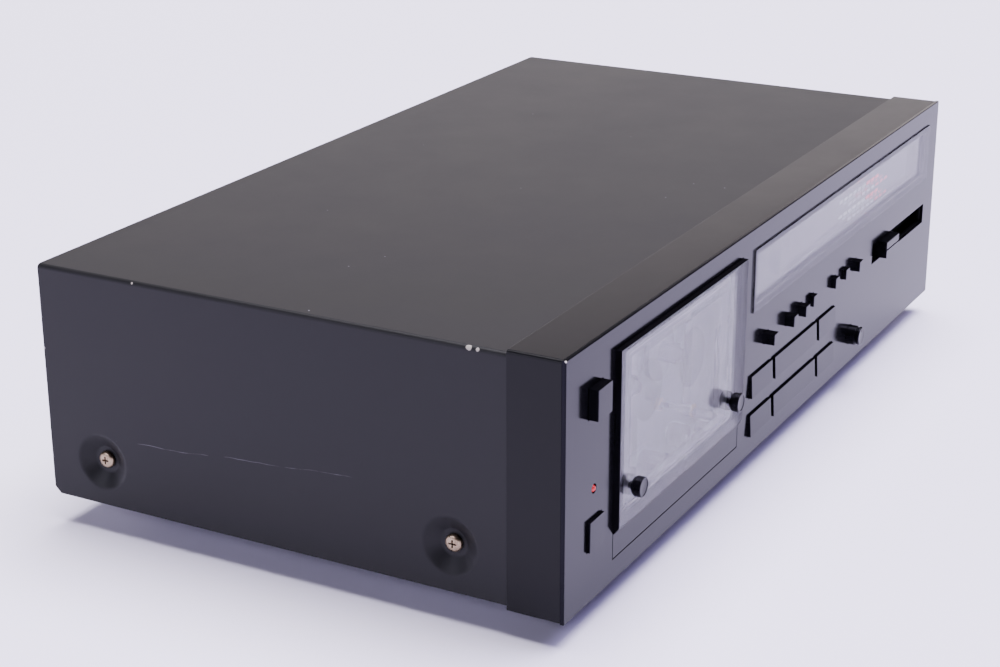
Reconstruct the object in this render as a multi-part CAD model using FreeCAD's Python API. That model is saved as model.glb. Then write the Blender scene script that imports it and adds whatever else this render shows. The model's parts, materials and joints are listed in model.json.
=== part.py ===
import FreeCAD, Part
import math
import os

os.makedirs("parts", exist_ok=True)
Vec = FreeCAD.Vector

# Cassette deck. +X to the right seen from the front, +Y to the back, +Z up.
# The geometry is written with y = 0 on the front panel's face and z = 0 on the
# ground, and every node is moved along Y at the end so that the origin is at the
# bottom centre of the whole deck.

# driving dimensions, mm
panelWidth = 443.0
panelHeight = 107.8
panelThick = 1.8
panelBottom = 11.0
frameBack = 24.9
coverWidth = 442.2
coverBack = 247.2
sheet = 1.0
controlReach = 6.9
jackReach = 9.0
holeGap = 0.35
webThick = 2.0
frameWall = 2.4
footX = 158.0
footYs = [52.0, 215.0]

panelTop = panelBottom + panelHeight
coverTop = panelTop - 1.4
coverBottom = panelBottom + 2.3
webBack = panelThick + webThick
deckDepth = controlReach + coverBack + jackReach
yShift = controlReach - deckDepth / 2.0

# door and cassette holder
doorLeft = -179.2
doorRight = -52.4
doorMid = (doorLeft + doorRight) / 2.0
doorBottom = panelBottom + 9.9
doorTop = panelBottom + 98.2
windowBottom = panelBottom + 20.0
windowReach = 2.5
windowBevel = 3.4
doorGap = 0.45
hingeY = 3.2
hingeZ = panelBottom + 24.0
pinRadius = 1.1
holderHalf = 53.0
holderWall = 1.2
holderFront = panelThick
holderBack = 19.0
holderBottom = panelBottom + 28.0
holderTop = panelBottom + 93.0
thumbSpread = 50.0
thumbZ = panelBottom + 37.0

# tape mechanism
plateFront = 22.0
plateBack = 23.5
reelSpread = 21.25
reelZ = panelBottom + 66.0
capstanX = doorMid + 25.5
capstanZ = panelBottom + 40.0
flywheelRadius = 21.0
pulleyRadius = 5.0
motorX = doorMid - 34.0
motorZ = panelBottom + 38.0
beltFront = 52.0
beltBack = 56.0
beltGap = 0.3
beltThick = 0.7
bracketFront = 60.0
pivotX = doorMid + 39.5
pivotZ = panelBottom + 24.0
rollerX = pivotX - 16.0
rollerZ = pivotZ + 4.3

latchY = 25.4
latchZ = panelBottom + 66.0

# damper gear train on the door's left side
gearModule = 0.8
sectorTeeth = 48
damperTeeth = 12
sectorRadius = gearModule * sectorTeeth / 2.0
damperRadius = gearModule * damperTeeth / 2.0
sectorX = doorLeft + 1.2
sectorWide = 1.6
damperAngle = 62.0

# controls on the panel: (left, right, bottom, top, reach)
ejectSpan = (-202.6, -190.4, panelBottom + 77.8, panelBottom + 90.6, 4.2)
powerSpan = (-202.6, -190.1, panelBottom + 22.6, panelBottom + 35.5, 1.4)
ledX = -196.9
ledZ = panelBottom + 47.5
keyColumns = [(-39.6, -14.6), (-11.4, 42.2), (45.4, 68.3)]
keyRows = [(panelBottom + 28.4, panelBottom + 38.9), (panelBottom + 9.8, panelBottom + 20.2)]
keyNames = [["rewind_key", "play_key", "forward_key"], ["record_key", "stop_key", "pause_key"]]
keyTopReach = 1.05
keyBottomReach = 1.7
smallSize = 5.2
smallZ = panelBottom + 52.0
smallButtons = [
    ("reset_button", -21.6, 5.2),
    ("input_button", 5.2, 4.3),
    ("monitor_button", 20.7, 4.2),
    ("memory_button", 36.0, 2.3),
    ("filter_button", 65.8, 2.4),
    ("noise_button", 81.0, 2.2),
    ("bias_button", 95.8, 3.9),
]
knobX = 94.2
knobZ = panelBottom + 15.6
knobRadius = 4.9
knobReach = 6.6
slotLeft = 123.2
slotRight = 205.6
slotBottom = panelBottom + 44.0
slotTop = panelBottom + 54.4
capLeft = 133.6
capRight = 152.6
capReach = 4.3
displayLeft = -40.0
displayRight = 205.6
displayBottom = panelBottom + 69.0
displayTop = panelBottom + 98.3
displayReach = 0.9
boardFront = 16.0
boardBack = 17.6
boardPostXs = [-36.0, 208.0]
boardPostZ = panelBottom + 62.0

# cover recesses
dishRadius = 11.75
dishFloor = 5.2
dishDepth = 4.0
dishZ = panelBottom + 22.0
dishPlaces = [50.0, 220.0]


def box(x0, x1, y0, y1, z0, z1):
    return Part.makeBox(x1 - x0, y1 - y0, z1 - z0, Vec(x0, y0, z0))


def rodY(x, z, y0, y1, radius):
    return Part.makeCylinder(radius, y1 - y0, Vec(x, y0, z), Vec(0, 1, 0))


def rodX(y, z, x0, x1, radius):
    return Part.makeCylinder(radius, x1 - x0, Vec(x0, y, z), Vec(1, 0, 0))


def rodZ(x, y, z0, z1, radius):
    return Part.makeCylinder(radius, z1 - z0, Vec(x, y, z0), Vec(0, 0, 1))


def edgesAt(shape, test):
    return [e for e in shape.Edges if test(e)]


def edgeRun(edge):
    ends = [v.Point for v in edge.Vertexes]
    return ends[-1] - ends[0] if len(ends) > 1 else Vec(0, 0, 0)


def alongAxis(edge, axis):
    run = edgeRun(edge)
    size = run.Length
    return size > 1e-6 and abs(getattr(run, axis)) > 0.999 * size


def profileX(points, x0, x1):
    # a straight bar along X whose section is the closed outline of (y, z) points
    outline = [Vec(x0, y, z) for y, z in points]
    outline.append(outline[0])
    return Part.Face(Part.makePolygon(outline)).extrude(Vec(x1 - x0, 0, 0))


def turned(points, base, axis, across):
    # a solid of revolution: points are (radius, distance along axis)
    outline = [base + across * r + axis * d for r, d in points]
    outline.append(outline[0])
    return Part.Face(Part.makePolygon(outline)).revolve(base, axis, 360)


def gearX(x0, x1, y, z, teeth, start):
    # spur gear about X with straight-flanked teeth and generous backlash
    pitch = gearModule * teeth / 2.0
    root = pitch - 0.95 * gearModule
    tip = pitch + 0.7 * gearModule
    step = 360.0 / teeth
    rootHalf = math.radians(step * 0.19)
    tipHalf = math.radians(step * 0.07)
    centre = Vec(x0, y, z)
    gear = Part.makeCylinder(root, x1 - x0, centre, Vec(1, 0, 0))
    flanks = []
    for i in range(teeth):
        angle = math.radians(start + i * step)
        corners = [(root - 0.2, -rootHalf), (tip, -tipHalf), (tip, tipHalf), (root - 0.2, rootHalf)]
        outline = [centre + Vec(0, r * math.cos(angle + a), r * math.sin(angle + a)) for r, a in corners]
        outline.append(outline[0])
        flanks.append(Part.Face(Part.makePolygon(outline)).extrude(Vec(x1 - x0, 0, 0)))
    return gear.multiFuse(flanks).removeSplitter()


def crossSlots(x, y, z, axis, across, size, deep):
    # a cross recess in a screw head; axis points out of the head
    other = axis.cross(across)
    slots = []
    for along, thin in ((across, other), (other, across)):
        corner = Vec(x, y, z) - along * (size / 2.0) - thin * 0.45 - axis * deep
        far = corner + along * size
        outline = [corner, far, far + thin * 0.9, corner + thin * 0.9, corner]
        slots.append(Part.Face(Part.makePolygon(outline)).extrude(axis * (deep + 1.0)))
    return slots[0].fuse(slots[1])


def panScrew(head, axis, across, headRadius=3.8, headHigh=2.2, shank=5.0, shankRadius=1.45):
    # head is the centre of the head's seat; the domed head stands out along axis
    body = Part.makeCylinder(headRadius, headHigh, head, axis)
    rim = edgesAt(body, lambda e: abs((e.CenterOfMass - head).dot(axis) - headHigh) < 1e-6 and e.Closed)
    body = body.makeFillet(headHigh * 0.6, rim[:1])
    top = head + axis * headHigh
    body = body.cut(crossSlots(top.x, top.y, top.z, axis, across, headRadius * 1.15, 1.3))
    return body.fuse(Part.makeCylinder(shankRadius, shank, head - axis * shank, axis))


def panelHoles(y0, y1, grow):
    # every opening that the controls, the door and the display need
    holes = []
    for x0, x1, z0, z1, _ in (ejectSpan, powerSpan):
        holes.append(box(x0 - grow, x1 + grow, y0, y1, z0 - grow, z1 + grow))
    for z0, z1 in keyRows:
        holes.append(box(keyColumns[0][0] - grow, keyColumns[2][1] + grow, y0, y1, z0 - grow, z1 + grow))
    half = smallSize / 2.0 + grow
    for _, x, _ in smallButtons:
        holes.append(box(x - half, x + half, y0, y1, smallZ - half, smallZ + half))
    holes.append(box(slotLeft, slotRight, y0, y1, slotBottom, slotTop))
    holes.append(rodY(knobX, knobZ, y0, y1, knobRadius + grow))
    holes.append(rodY(ledX, ledZ, y0, y1, 2.0))
    return holes


nodes = {}


def frontPanel():
    plate = box(-panelWidth / 2, panelWidth / 2, 0, panelThick, panelBottom, panelTop)
    rim = edgesAt(plate, lambda e: abs(e.CenterOfMass.y) < 1e-6)
    plate = plate.makeChamfer(0.4, rim)
    cuts = panelHoles(-1, panelThick + 1, holeGap)
    cuts.append(box(doorLeft - 0.4, doorRight + 0.4, -1, 3, doorBottom - doorGap, doorTop + 0.4))
    cuts.append(box(displayLeft + 4, displayRight - 4, -1, 3, displayBottom + 3, displayTop - 3))
    return plate.cut(cuts)


def frontFrame():
    side = panelWidth / 2
    shell = box(-side, side, panelThick, frameBack, panelBottom + 0.5, panelTop)
    topEdges = edgesAt(shell, lambda e: alongAxis(e, "y") and e.CenterOfMass.z > panelTop - 1)
    shell = shell.makeFillet(1.6, topEdges)
    inner = box(-side + frameWall, side - frameWall, webBack, frameBack + 1,
                panelBottom + 0.5 + frameWall, panelTop - frameWall)
    shell = shell.cut(inner)
    cuts = panelHoles(panelThick - 1, webBack + 1, holeGap + 0.25)
    cuts.append(box(doorLeft - 1.8, doorRight + 1.8, 0, 5, doorBottom - 4.0, doorTop + 2.0))
    cuts.append(box(displayLeft + 6, displayRight - 6, 0, 5, displayBottom + 4, displayTop - 4))
    shell = shell.cut(cuts)
    extras = []
    for x0 in (doorLeft - 6.8, doorRight + 1.8):
        extras.append(box(x0, x0 + 5.0, webBack - 0.5, 8.5, hingeZ - 4, hingeZ + 4))
    for x, z in platePosts():
        extras.append(rodY(x, z, webBack - 0.5, plateFront, 3.0))
    for x in boardPostXs:
        extras.append(rodY(x, boardPostZ, webBack - 0.5, boardFront, 2.5))
    shell = shell.multiFuse(extras)
    bores = [rodX(hingeY, hingeZ, doorLeft - 8, doorLeft, pinRadius),
             rodX(hingeY, hingeZ, doorRight, doorRight + 8, pinRadius)]
    return shell.cut(bores).removeSplitter()


def platePosts():
    return [(doorLeft - 6.2, panelBottom + 13), (doorLeft - 6.2, panelBottom + 98),
            (doorRight + 6.2, panelBottom + 13), (doorRight + 6.2, panelBottom + 98)]


def topCover():
    half = coverWidth / 2
    low = coverBottom
    outer = box(-half, half, frameBack, coverBack, low, coverTop)
    bends = edgesAt(outer, lambda e: alongAxis(e, "y") and e.CenterOfMass.z > coverTop - 1)
    outer = outer.makeFillet(2.0, bends)
    inner = box(-half + sheet, half - sheet, frameBack - 1, coverBack + 1, low - 1, coverTop - sheet)
    bends = edgesAt(inner, lambda e: alongAxis(e, "y") and e.CenterOfMass.z > coverTop - 2)
    inner = inner.makeFillet(1.0, bends)
    cover = outer.cut(inner)
    for side in (-1, 1):
        for y in dishPlaces:
            face = Vec(side * half, y, dishZ)
            inward = Vec(-side, 0, 0)
            pressed = Part.makeCone(dishRadius + 0.6, dishFloor + 0.6, dishDepth + sheet, face, inward)
            hollow = Part.makeCone(dishRadius, dishFloor, dishDepth, face, inward)
            cover = cover.fuse(pressed).cut(hollow)
            cover = cover.cut(Part.makeCylinder(1.9, dishDepth + 4, face, inward))
        corner = profileX([(coverBack - 3.0, low - 1), (coverBack + 1, low - 1), (coverBack + 1, low + 3.0)],
                          side * half - 2, side * half + 2)
        cover = cover.cut(corner)
    for x in rearScrewPlaces():
        lip = box(x - 9, x + 9, coverBack - sheet, coverBack, coverTop - 12, coverTop - 0.5)
        cover = cover.fuse(lip)
        cover = cover.cut(rodY(x, coverTop - 7, coverBack - 3, coverBack + 1, 1.7))
    return cover.removeSplitter()


def rearScrewPlaces():
    return [-190.0, 0.0, 190.0]


def caseScrews():
    screws = []
    seatX = coverWidth / 2 - dishDepth
    for side in (-1, 1):
        for y in dishPlaces:
            screws.append(panScrew(Vec(side * seatX, y, dishZ), Vec(side, 0, 0), Vec(0, 0, 1)))
    for x in rearScrewPlaces():
        screws.append(panScrew(Vec(x, coverBack, coverTop - 7), Vec(0, 1, 0), Vec(0, 0, 1), 3.0, 1.8))
    for x, y in footPlaces():
        screws.append(panScrew(Vec(x, y, 3.0), Vec(0, 0, -1), Vec(1, 0, 0), 3.6, 2.0, 14.0))
    return Part.makeCompound(screws)


panTop = coverBottom + 1.5
wallX = coverWidth / 2 - dishDepth - sheet
rearFront = coverBack - 3.0
rearBack = coverBack - sheet


def chassisPan():
    floor = box(-wallX, wallX, frameBack + 0.3, rearFront, coverBottom + 0.5, panTop)
    parts = [floor]
    for side in (-1, 1):
        x0, x1 = sorted((side * wallX, side * (wallX - sheet)))
        parts.append(box(x0, x1, frameBack + 0.3, rearFront, coverBottom + 0.5, panelBottom + 34))
    parts.append(box(-wallX, wallX, frameBack + 0.3, frameBack + 1.3, coverBottom + 0.5, panelBottom + 8))
    parts.append(latchTab())
    pan = parts[0].multiFuse(parts[1:]).removeSplitter()
    cuts = []
    for side in (-1, 1):
        for y in dishPlaces:
            cuts.append(rodX(y, dishZ, side * wallX - 3, side * wallX + 3, 1.45))
    for x, y in footPlaces():
        cuts.append(rodZ(x, y, coverBottom, panTop + 1, 1.45))
    # two rows of vent slots in front of the power supply
    for i in range(10):
        y = 96 + i * 7.0
        cuts.append(box(-190, -140, y, y + 2.4, coverBottom, panTop + 1))
        cuts.append(box(110, 170, y, y + 2.4, coverBottom, panTop + 1))
    return pan.cut(cuts)


jackPlaces = [(x, z) for z in (panelBottom + 30, panelBottom + 46) for x in (-176.0, -160.0)]
inletX = 180.0
inletZ = panelBottom + 34.0
jackRadius = 4.15


def rearPanel():
    half = coverWidth / 2 - sheet - 0.3
    plate = box(-half, half, rearFront, rearFront + 1.2, coverBottom + 0.5, coverTop - 1.6)
    cuts = [rodY(x, z, rearFront - 1, rearBack + 1, jackRadius + 0.6) for x, z in jackPlaces]
    cuts.append(box(inletX - 11.2, inletX + 11.2, rearFront - 1, rearBack + 1, inletZ - 6.7, inletZ + 6.7))
    bores = [rodY(x, coverTop - 7, rearFront - 1, rearBack + 1, 1.45) for x in rearScrewPlaces()]
    for i in range(8):
        x = 96 + i * 6.0
        cuts.append(box(x, x + 2.2, rearFront - 1, rearBack + 1, panelBottom + 60, panelBottom + 84))
    plate = plate.cut(cuts)
    backs = [box(x - 9, x + 9, rearFront + 1.2, rearBack, coverTop - 12, coverTop - 2)
             for x in rearScrewPlaces()]
    return plate.multiFuse(backs).cut(bores).removeSplitter()


def footPlaces():
    return [(x, y) for x in (-footX, footX) for y in footYs]


def footSet():
    feet = []
    high = coverBottom + 0.5
    profile = [(2.2, 3.0), (6.5, 3.0), (6.5, 0.6), (8.0, 0.0),
               (20.0, 0.0), (21.5, 1.5), (23.0, high), (2.2, high)]
    for x, y in footPlaces():
        feet.append(turned(profile, Vec(x, y, 0), Vec(0, 0, 1), Vec(1, 0, 0)))
    return Part.makeCompound(feet)


def displayWindow():
    face = box(displayLeft, displayRight, -displayReach, 0, displayBottom, displayTop)
    rim = edgesAt(face, lambda e: abs(e.CenterOfMass.y + displayReach) < 1e-6)
    face = face.makeChamfer(0.25, rim)
    plug = box(displayLeft + 4.2, displayRight - 4.2, -0.1, panelThick, displayBottom + 3.2, displayTop - 3.2)
    return face.fuse(plug).removeSplitter()


def displayTube():
    glass = box(10, 190, 6.2, 12.0, panelBottom + 71, panelBottom + 96)
    cells = [box(12, 188, 5.4, 6.2, panelBottom + 73, panelBottom + 94)]
    cells.append(rodY(14, panelBottom + 75, 12, 14, 1.6))
    return glass.multiFuse(cells).removeSplitter()


def frontBoard():
    board = box(displayLeft, displayRight + 8, boardFront, boardBack, panelBottom + 6, panelBottom + 102)
    cuts = [rodY(x, boardPostZ, boardFront - 1, boardBack + 1, 1.5) for x in boardPostXs]
    return board.cut(cuts)


def frontSwitches():
    switches = []
    for row in keyRows:
        for column in keyColumns:
            x = sum(column) / 2
            z = sum(row) / 2
            body = box(x - 3, x + 3, 12.6, boardFront, z - 3, z + 3)
            switches.append(body.fuse(rodY(x, z, 11.4, 12.8, 1.6)))
    for _, x, _ in smallButtons:
        switches.append(box(x - 4, x + 4, 12.6, boardFront, smallZ - 4, smallZ + 4))
    x = (powerSpan[0] + powerSpan[1]) / 2
    z = (powerSpan[2] + powerSpan[3]) / 2
    switches.append(box(x - 5, x + 5, 27.0, 46.0, panTop, z + 6))
    return Part.makeCompound(switches)


def pushButton(x0, x1, z0, z1, reach, travelOut, stemEnd, edge=0.35):
    # cap through the panel, a retaining collar behind the web and a stem to the switch
    cap = box(x0, x1, -reach, webBack + 1.0 + travelOut, z0, z1)
    rim = edgesAt(cap, lambda e: abs(e.CenterOfMass.y + reach) < 1e-6)
    cap = cap.makeChamfer(edge, rim)
    collarFront = webBack + 0.25 + travelOut
    collar = box(x0 - 0.95, x1 + 0.95, collarFront, collarFront + 1.0, z0 - 0.95, z1 + 0.95)
    x = (x0 + x1) / 2
    z = (z0 + z1) / 2
    stem = box(x - 1.4, x + 1.4, collarFront, stemEnd, z - 1.4, z + 1.4)
    return cap.fuse([collar, stem]).removeSplitter()


def transportKey(x0, x1, z0, z1):
    profile = [(-keyBottomReach, z0), (-keyTopReach, z1), (webBack + 1.0, z1), (webBack + 1.0, z0)]
    cap = profileX(profile, x0, x1)
    collarFront = webBack + 0.25
    collar = box(x0 + 1, x1 - 1, collarFront, collarFront + 1.0, z0 - 1.2, z1 + 1.2)
    x = (x0 + x1) / 2
    z = (z0 + z1) / 2
    stem = box(x - 1.6, x + 1.6, collarFront, 10.0, z - 1.6, z + 1.6)
    return cap.fuse([collar, stem]).removeSplitter()


def levelSlider():
    high = slotTop - 0.5
    low = slotBottom + 0.5
    profile = [(-capReach, low + 0.4), (-capReach, low + 4.4), (-capReach + 0.5, low + 4.7),
               (-capReach, low + 5.0), (-capReach, high - 0.9), (-capReach + 0.6, high - 0.3),
               (webBack + 1.6, high - 0.3), (webBack + 1.6, low + 0.2)]
    cap = profileX(profile, capLeft, capRight)
    x = (capLeft + capRight) / 2
    z = (slotBottom + slotTop) / 2
    stem = box(x - 2.2, x + 2.2, webBack + 1.0, 10.4, z - 0.7, z + 0.7)
    return cap.fuse(stem).removeSplitter()


def slidePot():
    body = box(slotLeft - 5, slotRight + 5, 8.4, boardFront, slotBottom - 0.5, slotTop + 0.5)
    z = (slotBottom + slotTop) / 2
    return body.cut(box(slotLeft + 2, slotRight - 2, 8, 12, z - 1.1, z + 1.1))


def outputKnob():
    base = Vec(knobX, -knobReach, knobZ)
    r = knobRadius
    skirt = webBack + 1.0 + knobReach
    profile = [(0, 0), (r - 0.7, 0), (r - 0.2, 0.5), (r - 0.2, 1.3), (r - 0.6, 1.6), (r - 0.6, 2.0),
               (r, 2.3), (r, skirt), (0, skirt)]
    knob = turned(profile, base, Vec(0, 1, 0), Vec(1, 0, 0))
    return knob.fuse(rodY(knobX, knobZ, webBack, 14.0, 1.5)).removeSplitter()


def outputPot():
    body = box(knobX - 5.5, knobX + 5.5, 9.5, boardFront, knobZ - 5.5, knobZ + 5.5)
    neck = rodY(knobX, knobZ, 6.2, 9.6, 3.0)
    return body.fuse(neck).cut(rodY(knobX, knobZ, 5, 15.0, 1.56)).removeSplitter()


def doorFrame():
    back = 1.8
    plate = box(doorLeft, doorRight, 0, back, doorBottom, doorTop)
    opening = box(doorLeft + 9, doorRight - 9, -1, back + 1, windowBottom + 7, doorTop - 4)
    plate = plate.cut(opening)
    rims = []
    front = -windowReach
    wedge = [(0.1, windowBottom + 0.2), (front, windowBottom + windowBevel), (front, doorTop), (0.1, doorTop)]
    rims.append(profileX(wedge, doorLeft, doorLeft + 0.7))
    rims.append(profileX(wedge, doorRight - 0.7, doorRight))
    rims.append(box(doorLeft, doorRight, front, 0.1, doorTop - 0.7, doorTop))
    for x0, x1 in ((doorLeft, doorLeft + 1.2), (doorRight - 4.4, doorRight)):
        rims.append(box(x0, x1, back - 0.2, 6.6, hingeZ - 5, hingeZ + 5))
    rims.append(box(doorLeft + sectorWide + 1.2, doorLeft + 5.2, back - 0.2, 6.6, hingeZ - 5, hingeZ + 5))
    door = plate.multiFuse(rims)
    # toothed sector, centred on the hinge, in a slot between the two left bosses
    sector = gearX(sectorX, sectorX + sectorWide, hingeY, hingeZ, sectorTeeth, damperAngle - 52.5)
    a0, a1 = damperAngle - 9.0, damperAngle + 38.0
    reach = sectorRadius + 3
    pie = [Vec(sectorX - 1, hingeY, hingeZ)]
    for k in range(5):
        a = math.radians(a0 - 20.0 + (a1 - a0) * k / 4.0)
        pie.append(Vec(sectorX - 1, hingeY + 1.2 * reach * math.cos(a), hingeZ + 1.2 * reach * math.sin(a)))
    pie.append(pie[0])
    wedgeCut = Part.Face(Part.makePolygon(pie)).extrude(Vec(sectorWide + 2, 0, 0))
    sector = sector.common(wedgeCut)
    hub = rodX(hingeY, hingeZ, sectorX, sectorX + sectorWide, 3.2)
    keep = box(sectorX - 1, sectorX + 3, back, hingeY + 60, hingeZ - 60, hingeZ + 60)
    door = door.multiFuse([sector.fuse(hub).common(keep)])
    bores = [rodX(hingeY, hingeZ, doorLeft - 1, doorLeft + 6, pinRadius + 0.06),
             rodX(hingeY, hingeZ, doorRight - 6, doorRight + 1, pinRadius + 0.06)]
    return door.cut(bores).removeSplitter()


def doorWindow():
    front = -windowReach
    outline = [(0, windowBottom), (front, windowBottom + windowBevel),
               (front, doorTop - 0.7), (0, doorTop - 0.7)]
    plate = profileX(outline, doorLeft + 0.7, doorRight - 0.7)
    holes = [rodY(doorMid + side * thumbSpread, thumbZ, front - 1, 1, 1.6) for side in (-1, 1)]
    return plate.cut(holes)


def thumbScrew(x):
    base = Vec(x, -windowReach - 4.4, thumbZ)
    profile = [(0, 0.25), (3.3, 0.25), (3.6, 0), (4.05, 0), (4.25, 0.25), (4.25, 3.3), (4.05, 3.6),
               (3.5, 3.95), (3.4, 4.3), (1.5, 4.3), (1.5, 6.4), (0, 6.4)]
    return turned(profile, base, Vec(0, 1, 0), Vec(1, 0, 0))


def cassetteHolder():
    parts = []
    for side in (-1, 1):
        xo = doorMid + side * holderHalf
        xi = xo - side * holderWall
        xf = xo - side * 8.0
        wall = sorted((xo, xi))
        flange = sorted((xo, xf))
        parts.append(box(wall[0], wall[1], holderFront, holderBack, holderBottom, holderTop))
        parts.append(box(flange[0], flange[1], holderFront, holderFront + 1.2, holderBottom, holderTop))
        parts.append(box(flange[0], flange[1], holderBack - 1.2, holderBack, holderBottom, holderTop - 22))
        parts.append(box(flange[0], flange[1], holderFront, holderBack, holderBottom, holderBottom + 1.2))
    x0, x1 = doorMid - holderHalf, doorMid + holderHalf
    parts.append(box(x0, x1, holderFront, holderFront + 1.2, holderBottom, holderBottom + 3.5))
    parts.append(box(x0, x1, holderFront, holderFront + 1.2, holderTop - 4, holderTop))
    return parts[0].multiFuse(parts[1:]).removeSplitter()


def holderSprings():
    springs = []
    front = holderFront + 1.2
    for side in (-1, 1):
        x = doorMid + side * (holderHalf - 5.0)
        outline = [(front, holderTop - 18), (front + 0.3, holderTop - 18), (front + 1.6, holderTop - 30),
                   (front + 0.3, holderTop - 42), (front, holderTop - 42), (front + 1.3, holderTop - 30)]
        springs.append(profileX(outline, x - 2.0, x + 2.0))
    return Part.makeCompound(springs)


def hingePins():
    left = rodX(hingeY, hingeZ, doorLeft - 6.8, doorLeft + 5.0, pinRadius)
    right = rodX(hingeY, hingeZ, doorRight - 4.2, doorRight + 6.8, pinRadius)
    return Part.makeCompound([left, right])


def damperCentre():
    reach = sectorRadius + damperRadius
    angle = math.radians(damperAngle)
    return hingeY + reach * math.cos(angle), hingeZ + reach * math.sin(angle)


def damperGear():
    y, z = damperCentre()
    step = 360.0 / damperTeeth
    gear = gearX(sectorX, sectorX + sectorWide, y, z, damperTeeth, damperAngle + 180.0 + step / 2.0)
    return gear.fuse(rodX(y, z, sectorX - 3.2, sectorX + sectorWide, 1.2)).removeSplitter()


def mechPlate():
    x0, x1 = doorLeft - 10, doorRight + 10
    plate = box(x0, x1, plateFront, plateBack, panelBottom + 8, panelBottom + 103)
    cuts = []
    for side in (-1, 1):
        cuts.append(rodY(doorMid + side * reelSpread, reelZ, plateFront - 1, plateBack + 1, 2.06))
    cuts.append(rodY(capstanX, capstanZ, plateFront - 1, plateBack + 1, 3.0))
    cuts.append(rodY(pivotX, pivotZ, plateFront - 1, plateBack + 1, 1.56))
    plate = plate.cut(cuts)
    extras = []
    # damper bracket reaching forward to the small gear
    y, z = damperCentre()
    arm = box(sectorX - 3.2, sectorX - 1.0, y - 3.5, plateFront + 0.2, z - 3, z + 3)
    extras.append(arm.cut(rodX(y, z, sectorX - 4, sectorX, 1.26)))
    # locating pins that the cassette drops over
    for side in (-1, 1):
        extras.append(rodY(doorMid + side * 33.0, panelBottom + 37.5, 9.5, plateFront + 0.2, 1.3))
    return plate.multiFuse(extras).removeSplitter()


def bracketPosts():
    return [(doorMid - 58.0, panelBottom + 14), (doorMid - 58.0, panelBottom + 66),
            (doorMid + 54.0, panelBottom + 14), (doorMid + 54.0, panelBottom + 66)]


def capstanBearing():
    bush = rodY(capstanX, capstanZ, plateFront - 2.0, plateBack + 6.0, 3.0)
    return bush.cut(rodY(capstanX, capstanZ, 0, 60, 1.27))


def flywheelBracket():
    x0, x1 = doorMid - 62, doorMid + 58
    plate = box(x0, x1, bracketFront, bracketFront + 1.2, panelBottom + 10, panelBottom + 70)
    posts = [rodY(x, z, plateBack, bracketFront + 0.1, 2.5) for x, z in bracketPosts()]
    return plate.multiFuse(posts).removeSplitter()


def capstanMotor():
    can = rodY(motorX, motorZ, plateBack, 48.0, 15.5)
    can = can.fuse(rodY(motorX, motorZ, 47.9, 50.0, 5.0))
    return can.cut(rodY(motorX, motorZ, 40.0, 51.0, 1.06)).removeSplitter()


def motorPulley():
    pulley = turned([(0, 50.6), (pulleyRadius + 1, 50.6), (pulleyRadius + 1, 51.6), (pulleyRadius, 51.8),
                     (pulleyRadius, 56.2), (pulleyRadius + 1, 56.4), (pulleyRadius + 1, 57.4), (0, 57.4)],
                    Vec(motorX, 0, motorZ), Vec(0, 1, 0), Vec(1, 0, 0))
    return pulley.fuse(rodY(motorX, motorZ, 42.0, 51.0, 1.0)).removeSplitter()


def flywheel():
    r = flywheelRadius
    profile = [(0, 42.0), (r + 1.5, 42.0), (r + 1.5, 51.4), (r, 51.8), (r, 56.2), (r - 3, 57.4), (0, 57.4)]
    wheel = turned(profile, Vec(capstanX, 0, capstanZ), Vec(0, 1, 0), Vec(1, 0, 0))
    capstan = rodY(capstanX, capstanZ, 7.0, bracketFront - 0.3, 1.2)
    return wheel.fuse(capstan).removeSplitter()


def driveBelt():
    # flat belt round the flywheel's groove and the motor pulley
    dx = capstanX - motorX
    dz = capstanZ - motorZ
    run = math.hypot(dx, dz)
    heading = math.atan2(dz, dx)

    def loop(extra):
        small = pulleyRadius + beltGap + extra
        large = flywheelRadius + beltGap + extra
        lean = math.acos((large - small) / run)
        points = []
        for sign, centre, radius in ((1, (motorX, motorZ), small), (1, (capstanX, capstanZ), large),
                                     (-1, (capstanX, capstanZ), large), (-1, (motorX, motorZ), small)):
            angle = heading + sign * (math.pi - lean)
            along, up = radius * math.cos(angle), radius * math.sin(angle)
            points.append(Vec(centre[0] + along, beltFront, centre[1] + up))
        farSide = Vec(capstanX + large * math.cos(heading), beltFront, capstanZ + large * math.sin(heading))
        nearSide = Vec(motorX - small * math.cos(heading), beltFront, motorZ - small * math.sin(heading))
        edges = [Part.LineSegment(points[0], points[1]).toShape(),
                 Part.Arc(points[1], farSide, points[2]).toShape(),
                 Part.LineSegment(points[2], points[3]).toShape(),
                 Part.Arc(points[3], nearSide, points[0]).toShape()]
        return Part.Face(Part.Wire(edges)).extrude(Vec(0, beltBack - beltFront, 0))

    return loop(beltThick).cut(loop(0.0))


def tapeReel(side):
    x = doorMid + side * reelSpread
    base = Vec(x, 0, reelZ)
    profile = [(0, 9.0), (2.2, 9.0), (3.9, 12.0), (3.9, 18.8), (13.0, 18.8), (13.0, 21.2), (4.0, 21.2),
               (4.0, 21.7), (2.0, 21.7), (2.0, 24.0), (9.5, 24.0), (9.5, 27.0), (0, 27.0)]
    reel = turned(profile, base, Vec(0, 1, 0), Vec(1, 0, 0))
    fins = []
    for k in range(3):
        fin = box(-0.7, 0.7, 10.5, 19.0, 3.0, 4.9)
        fin.rotate(Vec(0, 0, 0), Vec(0, 1, 0), 120.0 * k)
        fin.translate(Vec(x, 0, reelZ))
        fins.append(fin)
    return reel.multiFuse(fins).removeSplitter()


def headBase():
    plate = box(doorMid - 34, doorMid + 12, 19.0, 20.5, panelBottom + 12, panelBottom + 28)
    shelf = box(doorMid - 26, doorMid + 9, 8.0, 19.2, panelBottom + 15.5, panelBottom + 16.7)
    return plate.fuse(shelf).removeSplitter()


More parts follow.
